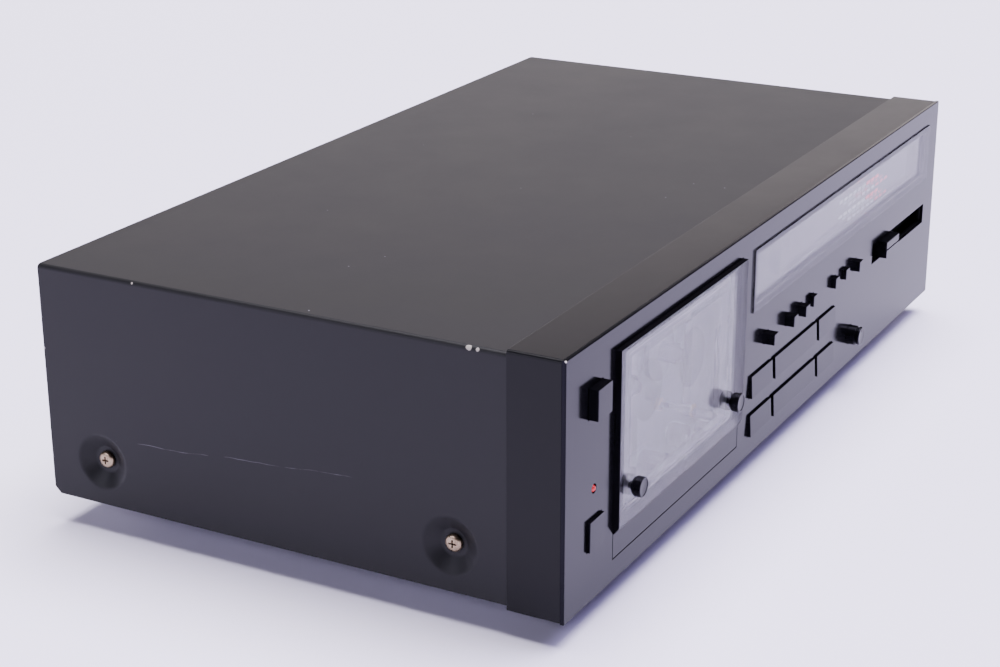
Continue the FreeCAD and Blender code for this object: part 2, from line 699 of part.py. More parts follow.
def tapeHeads():
    low = panelBottom + 16.7
    play = box(doorMid - 6, doorMid + 6, 6.0, 17.0, low, panelBottom + 27)
    nose = rodY(doorMid, panelBottom + 22.2, 6.0, 17.0, 7.0)
    nose = nose.common(box(doorMid - 5, doorMid + 5, 6.0, 17.0, panelBottom + 24, panelBottom + 30))
    play = play.fuse(nose).removeSplitter()
    erase = box(doorMid - 23, doorMid - 14, 6.0, 17.0, low, panelBottom + 27.5)
    return Part.makeCompound([play, erase])


def pinchArm():
    hub = rodY(pivotX, pivotZ, 15.3, 21.0, 3.0)
    shaft = rodY(pivotX, pivotZ, 20.0, 27.0, 1.5)
    outline = [Vec(pivotX, 15.6, pivotZ - 2.6), Vec(pivotX, 15.6, pivotZ + 2.6),
               Vec(rollerX, 15.6, rollerZ + 2.2), Vec(rollerX, 15.6, rollerZ - 2.2),
               Vec(pivotX, 15.6, pivotZ - 2.6)]
    bar = Part.Face(Part.makePolygon(outline)).extrude(Vec(0, 1.5, 0))
    pin = rodY(rollerX, rollerZ, 6.8, 16.0, 0.9)
    return hub.multiFuse([shaft, bar, pin]).removeSplitter()


def pinchRoller():
    roller = rodY(rollerX, rollerZ, 7.2, 14.8, 5.0)
    return roller.cut(rodY(rollerX, rollerZ, 0, 20, 0.95))


def doorLatch():
    x0, x1 = -199.2, -197.2
    lever = box(x0, x1, 23.4, 27.4, panelBottom + 58, panelBottom + 88)
    foot = box(x0, x1 + 6, 23.4, 25.0, panelBottom + 58, panelBottom + 62)
    latch = lever.fuse(foot)
    return latch.cut(rodX(latchY, latchZ, x0 - 1, x1 + 1, 1.56)).removeSplitter()


def latchTab():
    # tab bent up from the pan, with the pin that the latch lever turns on
    post = box(-204.0, -202.8, 28.0, 44.0, coverBottom + 0.5, latchZ + 5)
    fork = box(-204.0, -202.8, latchY - 2.5, 44.0, latchZ - 5, latchZ + 5)
    pin = rodX(latchY, latchZ, -203.0, -196.6, 1.5)
    return post.multiFuse([fork, pin])


def ledLamp():
    body = rodY(ledX, ledZ, 0.6, 5.0, 1.5)
    dome = Part.makeSphere(1.5, Vec(ledX, 0.9, ledZ)).common(rodY(ledX, ledZ, -0.4, 0.95, 1.5))
    return body.multiFuse([dome, rodY(ledX, ledZ, webBack + 0.1, 5.4, 2.0)]).removeSplitter()


def mainBoard():
    board = box(-30, 205, 70, 225, panTop + 6, panTop + 7.6)
    posts = [rodZ(x, y, panTop, panTop + 6.1, 3.0) for x in (-22, 197) for y in (78, 217)]
    return board.multiFuse(posts).removeSplitter()


def boardComponents():
    # chips in rows, small capacitors between them and two tall ones for the supply
    top = panTop + 7.6
    pieces = []
    for row in range(4):
        y = 84 + row * 30.0
        for column in range(4):
            x = -5 + column * 34.0
            pieces.append(box(x, x + 20, y, y + 7, top, top + 4))
    for row in range(3):
        for column in range(6):
            pieces.append(rodZ(2 + column * 20.0, 102 + row * 30.0, top, top + 12, 4.0))
    for x in (160.0, 184.0):
        pieces.append(rodZ(x, 190, top, top + 34, 9.0))
    return Part.makeCompound(pieces)


def transformerCore():
    core = box(-190, -120, 168, 212, panTop, panTop + 58)
    cuts = [box(x, x + 14, 160, 220, panTop + 12, panTop + 46) for x in (-178, -146)]
    core = core.cut(cuts)
    feet = box(-200, -110, 176, 204, panTop, panTop + 1.5)
    return core.fuse(feet).removeSplitter()


def transformerWinding():
    coil = box(-177, -133, 158, 222, panTop + 13, panTop + 45)
    upright = edgesAt(coil, lambda e: alongAxis(e, "z"))
    coil = coil.makeFillet(6.0, upright)
    return coil.cut(box(-164, -146, 167.9, 212.1, panTop + 10, panTop + 50))


def heatSink():
    x0 = 120.0
    top = panTop + 7.6
    plate = box(x0, x0 + 50, 214, 217, top, top + 50)
    fins = [box(x0 + 4 + i * 8.0, x0 + 5.5 + i * 8.0, 202, 214.1, top + 4, top + 50) for i in range(6)]
    return plate.multiFuse(fins).removeSplitter()


def phonoJacks():
    # a shell that a plug's sleeve grips, a collar outside the panel and a neck through it
    jacks = []
    collarBack = rearFront + 2.4
    tip = coverBack + jackReach
    for x, z in jackPlaces:
        jack = rodY(x, z, collarBack, tip, jackRadius).cut(rodY(x, z, collarBack + 0.5, tip + 1, 3.35))
        core = rodY(x, z, collarBack, tip - 0.8, 3.36)
        collar = rodY(x, z, rearFront + 1.2, collarBack, 6.2)
        neck = rodY(x, z, rearFront - 2.0, rearFront + 1.3, 4.0)
        jack = jack.multiFuse([core, collar, neck]).cut(rodY(x, z, collarBack + 0.5, tip + 1, 1.65))
        jacks.append(jack.removeSplitter())
    # the block that the four sockets are set in
    xs = [x for x, _ in jackPlaces]
    zs = [z for _, z in jackPlaces]
    jacks.append(box(min(xs) - 8, max(xs) + 8, rearFront - 16, rearFront - 2.0, min(zs) - 8, max(zs) + 8))
    return Part.makeCompound(jacks)


def mainsInlet():
    x0, x1, z0, z1 = inletX - 11, inletX + 11, inletZ - 6.5, inletZ + 6.5
    body = box(x0, x1, rearFront - 16, coverBack - 0.3, z0, z1)
    rim = box(x0 - 3, x1 + 3, rearFront - 2.0, rearFront, z0 - 2, z1 + 2)
    cavity = rodY(inletX - 3.6, inletZ, coverBack - 15, coverBack + 1, 4.3)
    cavity = cavity.fuse(rodY(inletX + 3.6, inletZ, coverBack - 15, coverBack + 1, 4.3))
    cavity = cavity.fuse(box(inletX - 3.6, inletX + 3.6, coverBack - 15, coverBack + 1,
                             inletZ - 4.3, inletZ + 4.3))
    body = body.fuse(rim).cut(cavity)
    pins = [rodY(inletX + side * 4.3, inletZ, coverBack - 15.5, coverBack - 3, 1.2) for side in (-1, 1)]
    return body.multiFuse(pins).removeSplitter()


nodes["front_panel"] = frontPanel()
nodes["front_frame"] = frontFrame()
nodes["top_cover"] = topCover()
nodes["case_screws"] = caseScrews()
nodes["chassis_pan"] = chassisPan()
nodes["rear_panel"] = rearPanel()
nodes["feet"] = footSet()
nodes["display_window"] = displayWindow()
nodes["display_tube"] = displayTube()
nodes["front_board"] = frontBoard()
nodes["front_switches"] = frontSwitches()
nodes["power_light"] = ledLamp()
nodes["slide_potentiometer"] = slidePot()
nodes["output_potentiometer"] = outputPot()
nodes["main_board"] = mainBoard()
nodes["board_components"] = boardComponents()
nodes["transformer_core"] = transformerCore()
nodes["transformer_winding"] = transformerWinding()
nodes["heat_sink"] = heatSink()
nodes["phono_jacks"] = phonoJacks()
nodes["mains_inlet"] = mainsInlet()
nodes["mech_plate"] = mechPlate()
nodes["capstan_bearing"] = capstanBearing()
nodes["flywheel_bracket"] = flywheelBracket()
nodes["capstan_motor"] = capstanMotor()
nodes["drive_belt"] = driveBelt()
nodes["hinge_pins"] = hingePins()
nodes["door_frame"] = doorFrame()
nodes["door_window"] = doorWindow()
nodes["cassette_holder"] = cassetteHolder()
nodes["holder_springs"] = holderSprings()
nodes["thumb_screw_left"] = thumbScrew(doorMid - thumbSpread)
nodes["thumb_screw_right"] = thumbScrew(doorMid + thumbSpread)
nodes["damper_gear"] = damperGear()
nodes["eject_button"] = pushButton(*ejectSpan, 0.0, 22.9, 0.5)
nodes["door_latch"] = doorLatch()
nodes["power_button"] = pushButton(*powerSpan, 2.6, 26.0, 0.5)
for row, names in zip(keyRows, keyNames):
    for column, name in zip(keyColumns, names):
        nodes[name] = transportKey(column[0], column[1], row[0], row[1])
for name, x, reach in smallButtons:
    half = smallSize / 2.0
    pressedIn = reach < 3.0
    travelOut = 2.0 if pressedIn else 0.0
    nodes[name] = pushButton(x - half, x + half, smallZ - half, smallZ + half, reach, travelOut, 9.8)
nodes["level_slider"] = levelSlider()
nodes["output_knob"] = outputKnob()
nodes["reel_left"] = tapeReel(-1)
nodes["reel_right"] = tapeReel(1)
nodes["flywheel"] = flywheel()
nodes["motor_pulley"] = motorPulley()
nodes["head_base"] = headBase()
nodes["tape_heads"] = tapeHeads()
nodes["pinch_arm"] = pinchArm()
nodes["pinch_roller"] = pinchRoller()

for name, shape in nodes.items():
    placed = shape.copy()
    placed.translate(Vec(0, yShift, 0))
    placed.exportStep("parts/" + name + ".step")
    solids = placed.Solids
    print(name, "solids", len(solids), "volume", round(placed.Volume, 1), "valid", placed.isValid())
print(len(nodes), "nodes, yShift", yShift)
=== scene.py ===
import json
import math

import bpy
from mathutils import Matrix, Vector

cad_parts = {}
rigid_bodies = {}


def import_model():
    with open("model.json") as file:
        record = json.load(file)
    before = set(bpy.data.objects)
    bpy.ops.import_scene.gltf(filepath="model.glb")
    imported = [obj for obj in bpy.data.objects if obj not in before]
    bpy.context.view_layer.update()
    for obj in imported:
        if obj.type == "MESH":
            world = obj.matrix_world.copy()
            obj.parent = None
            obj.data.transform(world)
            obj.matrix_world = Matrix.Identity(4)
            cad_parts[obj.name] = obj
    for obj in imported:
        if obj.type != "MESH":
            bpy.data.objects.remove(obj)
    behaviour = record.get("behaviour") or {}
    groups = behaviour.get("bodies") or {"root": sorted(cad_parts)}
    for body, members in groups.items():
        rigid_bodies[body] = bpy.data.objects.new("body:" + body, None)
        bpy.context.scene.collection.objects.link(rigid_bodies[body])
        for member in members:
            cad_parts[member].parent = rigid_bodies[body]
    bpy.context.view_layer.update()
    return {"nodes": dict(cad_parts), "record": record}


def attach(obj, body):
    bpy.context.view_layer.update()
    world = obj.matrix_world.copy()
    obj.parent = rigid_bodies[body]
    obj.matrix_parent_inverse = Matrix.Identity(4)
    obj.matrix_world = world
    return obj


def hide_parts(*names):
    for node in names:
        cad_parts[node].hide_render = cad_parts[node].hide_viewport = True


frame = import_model()
nodes = frame["nodes"]
bodies = frame["record"]["behaviour"]["bodies"]
bodyOf = {name: body for body, names in bodies.items() for name in names}
slotOf = {name: node.material_slots[0].material.name for name, node in nodes.items()}
for material in bpy.data.materials:
    material.name = "plain_" + material.name
mm = 0.001
frontY = -124.65  # where the panel's face is in the frame, in mm
mergeReach = 0.002 * mm  # points closer together than this are one point
print("frame loaded,", len(nodes), "nodes")


def at(x, y, z):
    # deck millimetres: x from the middle, y back from the panel's face, z up from the ground
    return Vector((x, y + frontY, z)) * mm


def toDeck(point):
    return Vector((point.x / mm, point.y / mm - frontY, point.z / mm))


# colour and node helpers

def hexToLinear(code):
    channels = []
    for start in (1, 3, 5):
        c = int(code[start:start + 2], 16) / 255
        channels.append(c / 12.92 if c <= 0.04045 else ((c + 0.055) / 1.055) ** 2.4)
    return (*channels, 1.0)


def addNode(tree, kind, settings=None, links=None):
    # settings: node properties, or input sockets by name; links: input name -> output socket
    node = tree.nodes.new("ShaderNode" + kind)
    for name, value in (settings or {}).items():
        if isinstance(name, str) and hasattr(node, name):
            setattr(node, name, value)
        else:
            node.inputs[name].default_value = value
    for name, socket in (links or {}).items():
        tree.links.new(socket, node.inputs[name])
    return node


def maths(tree, operation, *values):
    # values: numbers or output sockets, in the order of the node's inputs
    node = tree.nodes.new("ShaderNodeMath")
    node.operation = operation
    for i, value in enumerate(values):
        if isinstance(value, (int, float)):
            node.inputs[i].default_value = value
        else:
            tree.links.new(value, node.inputs[i])
    return node.outputs["Value"]


def objectPlace(tree):
    # the shaded point in its piece's own coordinates, in metres
    return addNode(tree, "TexCoord").outputs["Object"]


def noise(tree, size, detail, place, **more):
    # features about size mm across
    return addNode(tree, "TexNoise", {"Scale": perMillimetre(size), "Detail": detail, **more},
                   {"Vector": place}).outputs["Fac"]


def newMaterial(name):
    material = bpy.data.materials.new(name)
    material.use_nodes = True
    tree = material.node_tree
    tree.nodes.clear()
    output = addNode(tree, "OutputMaterial")
    shader = addNode(tree, "BsdfPrincipled")
    tree.links.new(shader.outputs["BSDF"], output.inputs["Surface"])
    return material, tree, shader


def perMillimetre(size):
    # the scale of a texture whose features are about this many millimetres across
    return 1000 / size


# finishes

noiseSpan = {"From Min": 0.3, "From Max": 0.7}  # where most of a noise texture's values lie


def grained(look):
    material, tree, shader = newMaterial(look["called"])
    stretched = addNode(tree, "Mapping", links={"Vector": objectPlace(tree)})
    stretched.inputs["Scale"].default_value = look.get("stretch", (1, 1, 1))
    along = stretched.outputs["Vector"]
    patch = noise(tree, look["patch"], 5.0, along, Roughness=0.6)
    grain = noise(tree, look["grain"], 2.0, along)
    tone = addNode(tree, "ValToRGB", links={"Fac": patch})
    for element, position, key in zip(tone.color_ramp.elements, (0.32, 0.7), ("dark", "light")):
        element.position = position
        element.color = hexToLinear(look[key])
    # painted shade: the grain's pits are darkened a little in the colour, so that the grain shows
    # in even light as well
    pitShadeTone = 1 - look.get("pits", 0.12)
    pits = addNode(tree, "MapRange", {**noiseSpan, "To Min": pitShadeTone, "To Max": 1.0},
                   {"Value": grain})
    colour = addNode(tree, "MixRGB", {"blend_type": "MULTIPLY", "Fac": 1.0},
                     {"Color1": tone.outputs["Color"], "Color2": pits.outputs["Result"]})
    smoothest, roughest = look["rough"]
    rough = addNode(tree, "MapRange", {**noiseSpan, "To Min": smoothest, "To Max": roughest},
                    {"Value": patch})
    relief = {"Strength": look.get("bump", 0.3), "Distance": look["depth"] * mm}
    bump = addNode(tree, "Bump", relief, {"Height": grain})
    tree.links.new(colour.outputs["Color"], shader.inputs["Base Color"])
    tree.links.new(rough.outputs["Result"], shader.inputs["Roughness"])
    tree.links.new(bump.outputs["Normal"], shader.inputs["Normal"])
    for socket, value in look.get("sockets", {}).items():
        shader.inputs[socket].default_value = value
    return material


def laidOver(material, mask, colour, roughness):
    # shows another colour and roughness where mask is 1
    tree = material.node_tree
    shader = next(node for node in tree.nodes if node.type == "BSDF_PRINCIPLED")
    under = shader.inputs["Base Color"].links[0].from_socket
    underRough = shader.inputs["Roughness"].links[0].from_socket
    mix = addNode(tree, "MixRGB", {"Color2": hexToLinear(colour)}, {"Fac": mask, "Color1": under})
    roughMix = addNode(tree, "MapRange", {"To Max": roughness},
                       {"Value": mask, "To Min": underRough})
    tree.links.new(mix.outputs["Color"], shader.inputs["Base Color"])
    tree.links.new(roughMix.outputs["Result"], shader.inputs["Roughness"])


def chipped(material, chips, colour):
    # paint knocked off in ragged spots: (x, y, z, size) in deck mm
    raggedSize = 1.6
    bareRoughness = 0.35
    tree = material.node_tree
    place = objectPlace(tree)
    spots = None
    for x, y, z, size in chips:
        gap = addNode(tree, "VectorMath", {"operation": "DISTANCE"}, {0: place})
        gap.inputs[1].default_value = at(x, y, z)
        spot = addNode(tree, "MapRange", {"From Min": size * mm, "From Max": size * 0.3 * mm,
                                          "To Min": -0.45, "To Max": 0.5},
                       {"Value": gap.outputs["Value"]}).outputs["Result"]
        spots = spot if spots is None else maths(tree, "MAXIMUM", spots, spot)
    height = maths(tree, "ADD", spots, noise(tree, raggedSize, 4.0, place))
    mask = addNode(tree, "MapRange", {"From Min": 0.52, "From Max": 0.6}, {"Value": height})
    laidOver(material, mask.outputs["Result"], colour, bareRoughness)


def scratched(material, start, end, wide, colour):
    # one hairline on the left side, between two (y, z) points in deck mm; broken up along its run
    sideLimit = -0.2205  # only what lies further left than this
    wander = 1.6 * mm
    tree = material.node_tree
    place = objectPlace(tree)
    axes = addNode(tree, "SeparateXYZ", links={"Vector": place})
    run = Vector((end[0] - start[0], end[1] - start[1]))
    along = run.normalized()
    y = maths(tree, "SUBTRACT", axes.outputs["Y"], (start[0] + frontY) * mm)
    z = maths(tree, "SUBTRACT", axes.outputs["Z"], start[1] * mm)

    def weighed(a, b):
        return maths(tree, "MULTIPLY_ADD", z, b, maths(tree, "MULTIPLY", y, a))

    travel = weighed(along.x, along.y)
    aside = weighed(-along.y, along.x)
    bend = addNode(tree, "MapRange", {"To Min": -wander, "To Max": wander},
                   {"Value": noise(tree, 22, 2.0, place)})
    line = maths(tree, "ABSOLUTE", maths(tree, "ADD", aside, bend.outputs["Result"]))
    near = addNode(tree, "MapRange", {"From Min": wide * mm, "From Max": 0.0}, {"Value": line})
    kept = addNode(tree, "MapRange", {"From Min": 0.42, "From Max": 0.62},
                   {"Value": noise(tree, 9, 3.0, place)})
    begun = maths(tree, "GREATER_THAN", travel, 0.0)
    unended = maths(tree, "LESS_THAN", travel, run.length * mm)
    onSide = maths(tree, "LESS_THAN", axes.outputs["X"], sideLimit)
    mask = near.outputs["Result"]
    for part in (begun, unended, onSide, kept.outputs["Result"]):
        mask = maths(tree, "MULTIPLY", mask, part)
    laidOver(material, mask, colour, 0.4)


def dusty(material, spacing, size, colour, amount):
    # sparse specks of dust, about spacing mm apart; drawn coarser than real dust so that they show
    speckRadius = size / spacing
    dustRoughness = 0.8
    tree = material.node_tree
    cells = addNode(tree, "TexVoronoi", {"Scale": perMillimetre(spacing)},
                    {"Vector": objectPlace(tree)})
    speck = addNode(tree, "MapRange", {"From Min": speckRadius, "From Max": speckRadius * 0.4},
                    {"Value": cells.outputs["Distance"]})
    pick = addNode(tree, "SeparateColor", links={"Color": cells.outputs["Color"]})
    chosen = maths(tree, "GREATER_THAN", pick.outputs["Red"], 1 - amount)
    mask = maths(tree, "MULTIPLY", speck.outputs["Result"], chosen)
    laidOver(material, mask, colour, dustRoughness)


# What each finish is made of, by the record's slot. called: the material's own name; dark and
# light: its two tones; patch and grain: feature sizes in mm; rough: the range its roughness
# wanders over; depth: how deep the grain is in mm; pits: how much painted shade darkens the
# grain's pits; stretch: how the features are drawn out; sockets: shader inputs set directly.
# The real grain, 0.02 to 0.1 mm, would not show, so it is drawn at 0.3 to 0.6 mm.
lilac = hexToLinear("#d2ccee")
metal = {"Metallic": 1.0}
lacquer = {"IOR": 1.36, "Specular IOR Level": 0.2, "Specular Tint": lilac}
looks = {
    # semi-gloss black lacquer on an aluminium plate: a soft mirror of the floor, with a lilac cast
    "panel_finish": dict(
        called="blackLacquerOnAluminium", dark="#08080a", light="#0c0b0e", patch=35,
        rough=(0.14, 0.19), grain=0.35, depth=0.004, sockets=lacquer),
    # injection-moulded ABS: an even satin that is duller than the panel
    "frame_plastic": dict(
        called="mouldedSatinAbs", dark="#060608", light="#09080b", patch=30, rough=(0.32, 0.36),
        grain=0.35, depth=0.01, pits=0.2, sockets={"Specular IOR Level": 0.14}),
    # enamel baked on sheet steel: a dry fine grain that greys where light grazes it
    "cover_paint": dict(
        called="bakedBlackEnamel", dark="#08080a", light="#0d0c0f", patch=45, rough=(0.46, 0.5),
        grain=0.55, depth=0.03, pits=0.35, bump=0.5, sockets={"Specular IOR Level": 0.22}),
    # yellow-passivated zinc on steel screws: warm, and worn paler on the high spots
    "screw_plating": dict(
        called="yellowPassivatedZinc", dark="#7d6c58", light="#a8977f", patch=2.5,
        rough=(0.22, 0.42), grain=0.3, depth=0.01, sockets=metal),
    # hot-dipped sheet: cool grey with a faint rolled direction
    "zinc_steel": dict(
        called="rolledZincSheet", dark="#86878b", light="#a3a4a8", patch=9, rough=(0.28, 0.45),
        grain=0.5, depth=0.01, stretch=(1, 1, 0.2), sockets=metal),
    # powder coat: a dull black with a slight orange peel
    "rear_paint": dict(
        called="blackPowderCoat", dark="#0f0f12", light="#16161a", patch=15, rough=(0.4, 0.52),
        grain=0.5, depth=0.03, pits=0.3),
    # moulded polypropylene: waxy and slightly dusty
    "foot_plastic": dict(
        called="mouldedPolypropylene", dark="#0c0c0d", light="#131314", patch=6,
        rough=(0.45, 0.62), grain=0.5, depth=0.03, pits=0.25),
    # cast acrylic, smoked: dark until something lit stands behind it
    "display_acrylic": dict(
        called="smokedAcrylic", dark="#716f78", light="#7a7882", patch=40, rough=(0.02, 0.05),
        grain=3, depth=0.0005, pits=0.0,
        sockets={"IOR": 1.49, "Specular Tint": lilac, "Transmission Weight": 1.0, "Alpha": 0.62}),
    # soda glass over a dark ground: smooth and nearly black
    "tube_glass": dict(
        called="blackedTubeGlass", dark="#0a1214", light="#0f1a1c", patch=10, rough=(0.06, 0.1),
        grain=1, depth=0.001),
    # glass-fibre board under solder mask: green with the weave's mottle
    "board_green": dict(
        called="greenSolderMask", dark="#1c3f28", light="#2a5638", patch=5, rough=(0.3, 0.48),
        grain=0.6, depth=0.02),
    # moulded acetal: warm white, slightly translucent to the eye
    "switch_plastic": dict(
        called="whiteAcetal", dark="#d2cec2", light="#e4e0d6", patch=5, rough=(0.38, 0.5),
        grain=0.6, depth=0.02),
    # cast epoxy lens: deep red that glows a little
    "led_red": dict(
        called="redEpoxyLens", dark="#8c0a12", light="#b0141c", patch=2, rough=(0.14, 0.2),
        grain=0.6, depth=0.003,
        sockets={"Emission Color": hexToLinear("#ff2a3a"), "Emission Strength": 0.3,
                 "Transmission Weight": 0.2}),
    # stamped steel, its colour darkened as painted shade so that nothing shines through the slot
    "pot_steel": dict(
        called="shadeDarkenedStampedSteel", dark="#2a2a2c", light="#38383a", patch=5,
        rough=(0.34, 0.46), grain=0.6, depth=0.01, sockets=metal),
    # phenolic paper board: tan with darker fibres
    "board_tan": dict(
        called="phenolicPaperBoard", dark="#7d5e34", light="#9c7a48", patch=6,
        rough=(0.4, 0.55), grain=0.5, depth=0.02),
    # transfer-moulded epoxy: flat black-grey
    "component_black": dict(
        called="mouldedEpoxy", dark="#121212", light="#1d1d1d", patch=4, rough=(0.35, 0.5),
        grain=0.4, depth=0.02),
    # stacked silicon-steel laminations: dull streaks along the stack
    "core_steel": dict(
        called="laminatedSiliconSteel", dark="#46474b", light="#6c6d70", patch=3,
        rough=(0.4, 0.55), grain=0.5, depth=0.04, stretch=(0.15, 1, 0.15), sockets=metal),
    # polyester tape wound round the coil: glossy amber bands
    "winding_tape": dict(
        called="woundPolyesterTape", dark="#9a7a2c", light="#b89848", patch=4,
        rough=(0.3, 0.45), grain=0.6, depth=0.02, stretch=(0.3, 0.3, 1)),
    # extruded aluminium: pale, with drawn lines
    "sink_aluminium": dict(
        called="extrudedAluminium", dark="#a6a8aa", light="#c2c4c6", patch=6,
        rough=(0.32, 0.45), grain=0.4, depth=0.01, stretch=(1, 1, 0.1), sockets=metal),
    # nickel plate on turned brass: warm silver, sharp highlights
    "jack_nickel": dict(
        called="nickelPlate", dark="#aca89f", light="#c8c4bc", patch=3, rough=(0.18, 0.3),
        grain=0.3, depth=0.004, sockets=metal),
    # moulded polyester: plain black
    "inlet_plastic": dict(
        called="mouldedPolyester", dark="#101012", light="#18181a", patch=5, rough=(0.35, 0.5),
        grain=0.4, depth=0.02),
    # turned brass: yellow, bright
    "bearing_brass": dict(
        called="turnedBrass", dark="#a07c36", light="#c09a4c", patch=4, rough=(0.22, 0.35),
        grain=0.3, depth=0.005, sockets=metal),
    # deep-drawn plated can: even silver
    "motor_can": dict(
        called="drawnPlatedSteel", dark="#94949a", light="#b2b2b4", patch=6, rough=(0.22, 0.35),
        grain=0.4, depth=0.005, sockets=metal),
    # moulded neoprene: matt black
    "belt_rubber": dict(
        called="mouldedNeoprene", dark="#0c0c0c", light="#151515", patch=3, rough=(0.6, 0.75),
        grain=0.3, depth=0.02),
    # ground stainless pins
    "pin_steel": dict(
        called="groundStainless", dark="#98989a", light="#b4b4b6", patch=3, rough=(0.18, 0.3),
        grain=0.3, depth=0.003, sockets=metal),
    # cast acrylic, lightly smoked: a hard mirror-like face that lets the mechanism show through
    "window_acrylic": dict(
        called="clearSmokedAcrylic", dark="#bab8c2", light="#c2c0ca", patch=40,
        rough=(0.02, 0.05), grain=3, depth=0.0005, pits=0.0,
        sockets={"IOR": 1.44, "Specular Tint": lilac, "Transmission Weight": 1.0, "Alpha": 0.42}),
    # blackened pressed steel: dark grey with a metal sheen
    "holder_steel": dict(
        called="blackenedSteel", dark="#3c3d41", light="#4e4e52", patch=8, rough=(0.34, 0.46),
        grain=0.4, depth=0.006, sockets=metal),
    # rolled spring strip: grey and bright along its length
    "spring_steel": dict(
        called="rolledSpringSteel", dark="#84858a", light="#a0a0a4", patch=4,
        rough=(0.22, 0.35), grain=0.3, depth=0.004, sockets=metal),
    # polished phenolic: glossy black
    "knob_gloss": dict(
        called="polishedPhenolic", dark="#060608", light="#0b0a0d", patch=5, rough=(0.08, 0.15),
        grain=0.4, depth=0.002, sockets=lacquer),
    # moulded nylon: off-white
    "gear_nylon": dict(
        called="mouldedNylon", dark="#d2d0c6", light="#e6e4da", patch=4, rough=(0.35, 0.5),
        grain=0.4, depth=0.01),
    # ABS lacquered to match the panel, a little smoother
    "key_plastic": dict(
        called="lacqueredAbs", dark="#060608", light="#0a090c", patch=8, rough=(0.13, 0.18),
        grain=0.35, depth=0.003, sockets=lacquer),
    # moulded black acetal: soft gloss
    "reel_plastic": dict(
        called="blackAcetal", dark="#1a1a1c", light="#242426", patch=4, rough=(0.3, 0.4),
        grain=0.4, depth=0.006),
    # turned mild steel under oil
    "flywheel_steel": dict(
        called="turnedSteel", dark="#75757a", light="#929296", patch=5, rough=(0.22, 0.35),
        grain=0.3, depth=0.004, sockets=metal),
    # lapped alloy: smooth, with fine lines across the tape's path
    "head_metal": dict(
        called="lappedPermalloy", dark="#a8a6a8", light="#c4c2c4", patch=3, rough=(0.12, 0.24),
        grain=0.3, depth=0.002, stretch=(0.1, 1, 1), sockets=metal),
}
# finishes of small parts that share a slot with a look above
looks["meterWhite"] = dict(
    looks["switch_plastic"], called="litWhiteBar", slot="switch_plastic",
    sockets={"Emission Color": hexToLinear("#e6f2ff"), "Emission Strength": 2.0})
looks["meterRed"] = dict(
    looks["led_red"], called="litRedBar", slot="led_red",
    sockets={"Emission Color": hexToLinear("#ff5068"), "Emission Strength": 5.0})
looks["jackCoreRed"] = dict(
    called="redPolyethylene", slot="led_red", dark="#8e1218", light="#a81c22", patch=3,
    rough=(0.3, 0.42), grain=0.4, depth=0.01)
looks["jackCoreWhite"] = dict(
    looks["switch_plastic"], called="whitePolyethylene", slot="switch_plastic")
finishes = {name: grained(look) for name, look in looks.items()}
coverChips = [(-220.6, 41.0, 116.9, 1.9), (-220.8, 37.2, 116.7, 1.2), (-220.8, 198.0, 116.7, 0.9),
              (-221.0, 247.0, 80.0, 1.0), (-120.0, 247.0, 117.2, 1.0)]
chipped(finishes["cover_paint"], coverChips, "#8f8a82")
scratched(finishes["cover_paint"], (212.0, 44.4), (92.0, 52.8), wide=0.2, colour="#58555c")
dusty(finishes["cover_paint"], spacing=9, size=0.45, colour="#8c8a90", amount=0.12)
dusty(finishes["frame_plastic"], spacing=12, size=0.4, colour="#77757c", amount=0.1)
chipped(finishes["panel_finish"], [(-221.3, 0.2, 118.6, 0.9)], "#c9c3ba")
for name, node in nodes.items():
    node.material_slots[0].material = finishes[slotOf[name]]
print("finishes made,", len(finishes))

# modelling helpers

def leaveEdit():
    bpy.ops.object.mode_set(mode="OBJECT")


def pickAll():
    bpy.ops.mesh.select_all(action="SELECT")


def deselectAll():
    if bpy.context.mode != "OBJECT":
        leaveEdit()
    bpy.ops.object.select_all(action="DESELECT")


def pickOnly(*pieces):
    deselectAll()
    for piece in pieces:
        piece.select_set(True)
    bpy.context.view_layer.objects.active = pieces[0]


def settle(piece):
    pickOnly(piece)
    bpy.ops.object.transform_apply(location=True, rotation=True, scale=True)
    return piece


def addBlock(name, low, high):
    deselectAll()
    a, b = at(*low), at(*high)
    bpy.ops.mesh.primitive_cube_add(size=1, location=(a + b) / 2)
    piece = bpy.context.object
    piece.name = name
    piece.scale = b - a
    return settle(piece)


def addRod(name, middle, radius, length, sides=32):
    # lies front to back
    deselectAll()
    bpy.ops.mesh.primitive_cylinder_add(vertices=sides, radius=radius * mm, depth=length * mm,
                                        location=at(*middle), rotation=(math.pi / 2, 0, 0))
    piece = bpy.context.object
    piece.name = name
    return settle(piece)


def pickFaces(piece, test):
    # edit mode, with only the faces whose centre (deck mm) and normal pass the test
    startPicking(piece, "FACE")
    for face in piece.data.polygons:
        face.select = test(toDeck(face.center), face.normal)
    bpy.ops.object.mode_set(mode="EDIT")


def pickEdges(piece, test):
    # the same for edges, given both ends in deck mm
    startPicking(piece, "EDGE")
    points = [toDeck(vertex.co) for vertex in piece.data.vertices]
    for edge in piece.data.edges:
        edge.select = test(points[edge.vertices[0]], points[edge.vertices[1]])
    bpy.ops.object.mode_set(mode="EDIT")


def startPicking(piece, kind):
    pickOnly(piece)
    bpy.ops.object.mode_set(mode="EDIT")
    bpy.ops.mesh.select_mode(type=kind)
    bpy.ops.mesh.select_all(action="DESELECT")
    leaveEdit()


def bevelPicked(width, segments=3):
    bpy.ops.mesh.bevel(offset=width * mm, segments=segments, profile=0.5, affect="EDGES")
    leaveEdit()


def stepFace(middle, grow=(1, 1, 1), run=(0, 0, 0)):
    # from the picked face: a step of another size, then a run in mm
    bpy.ops.mesh.extrude_region_move(TRANSFORM_OT_translate={"value": (0, 0, 0)})
    bpy.ops.transform.resize(value=grow, center_override=at(*middle))
    if any(run):
        bpy.ops.mesh.extrude_region_move(TRANSFORM_OT_translate={"value": Vector(run) * mm})


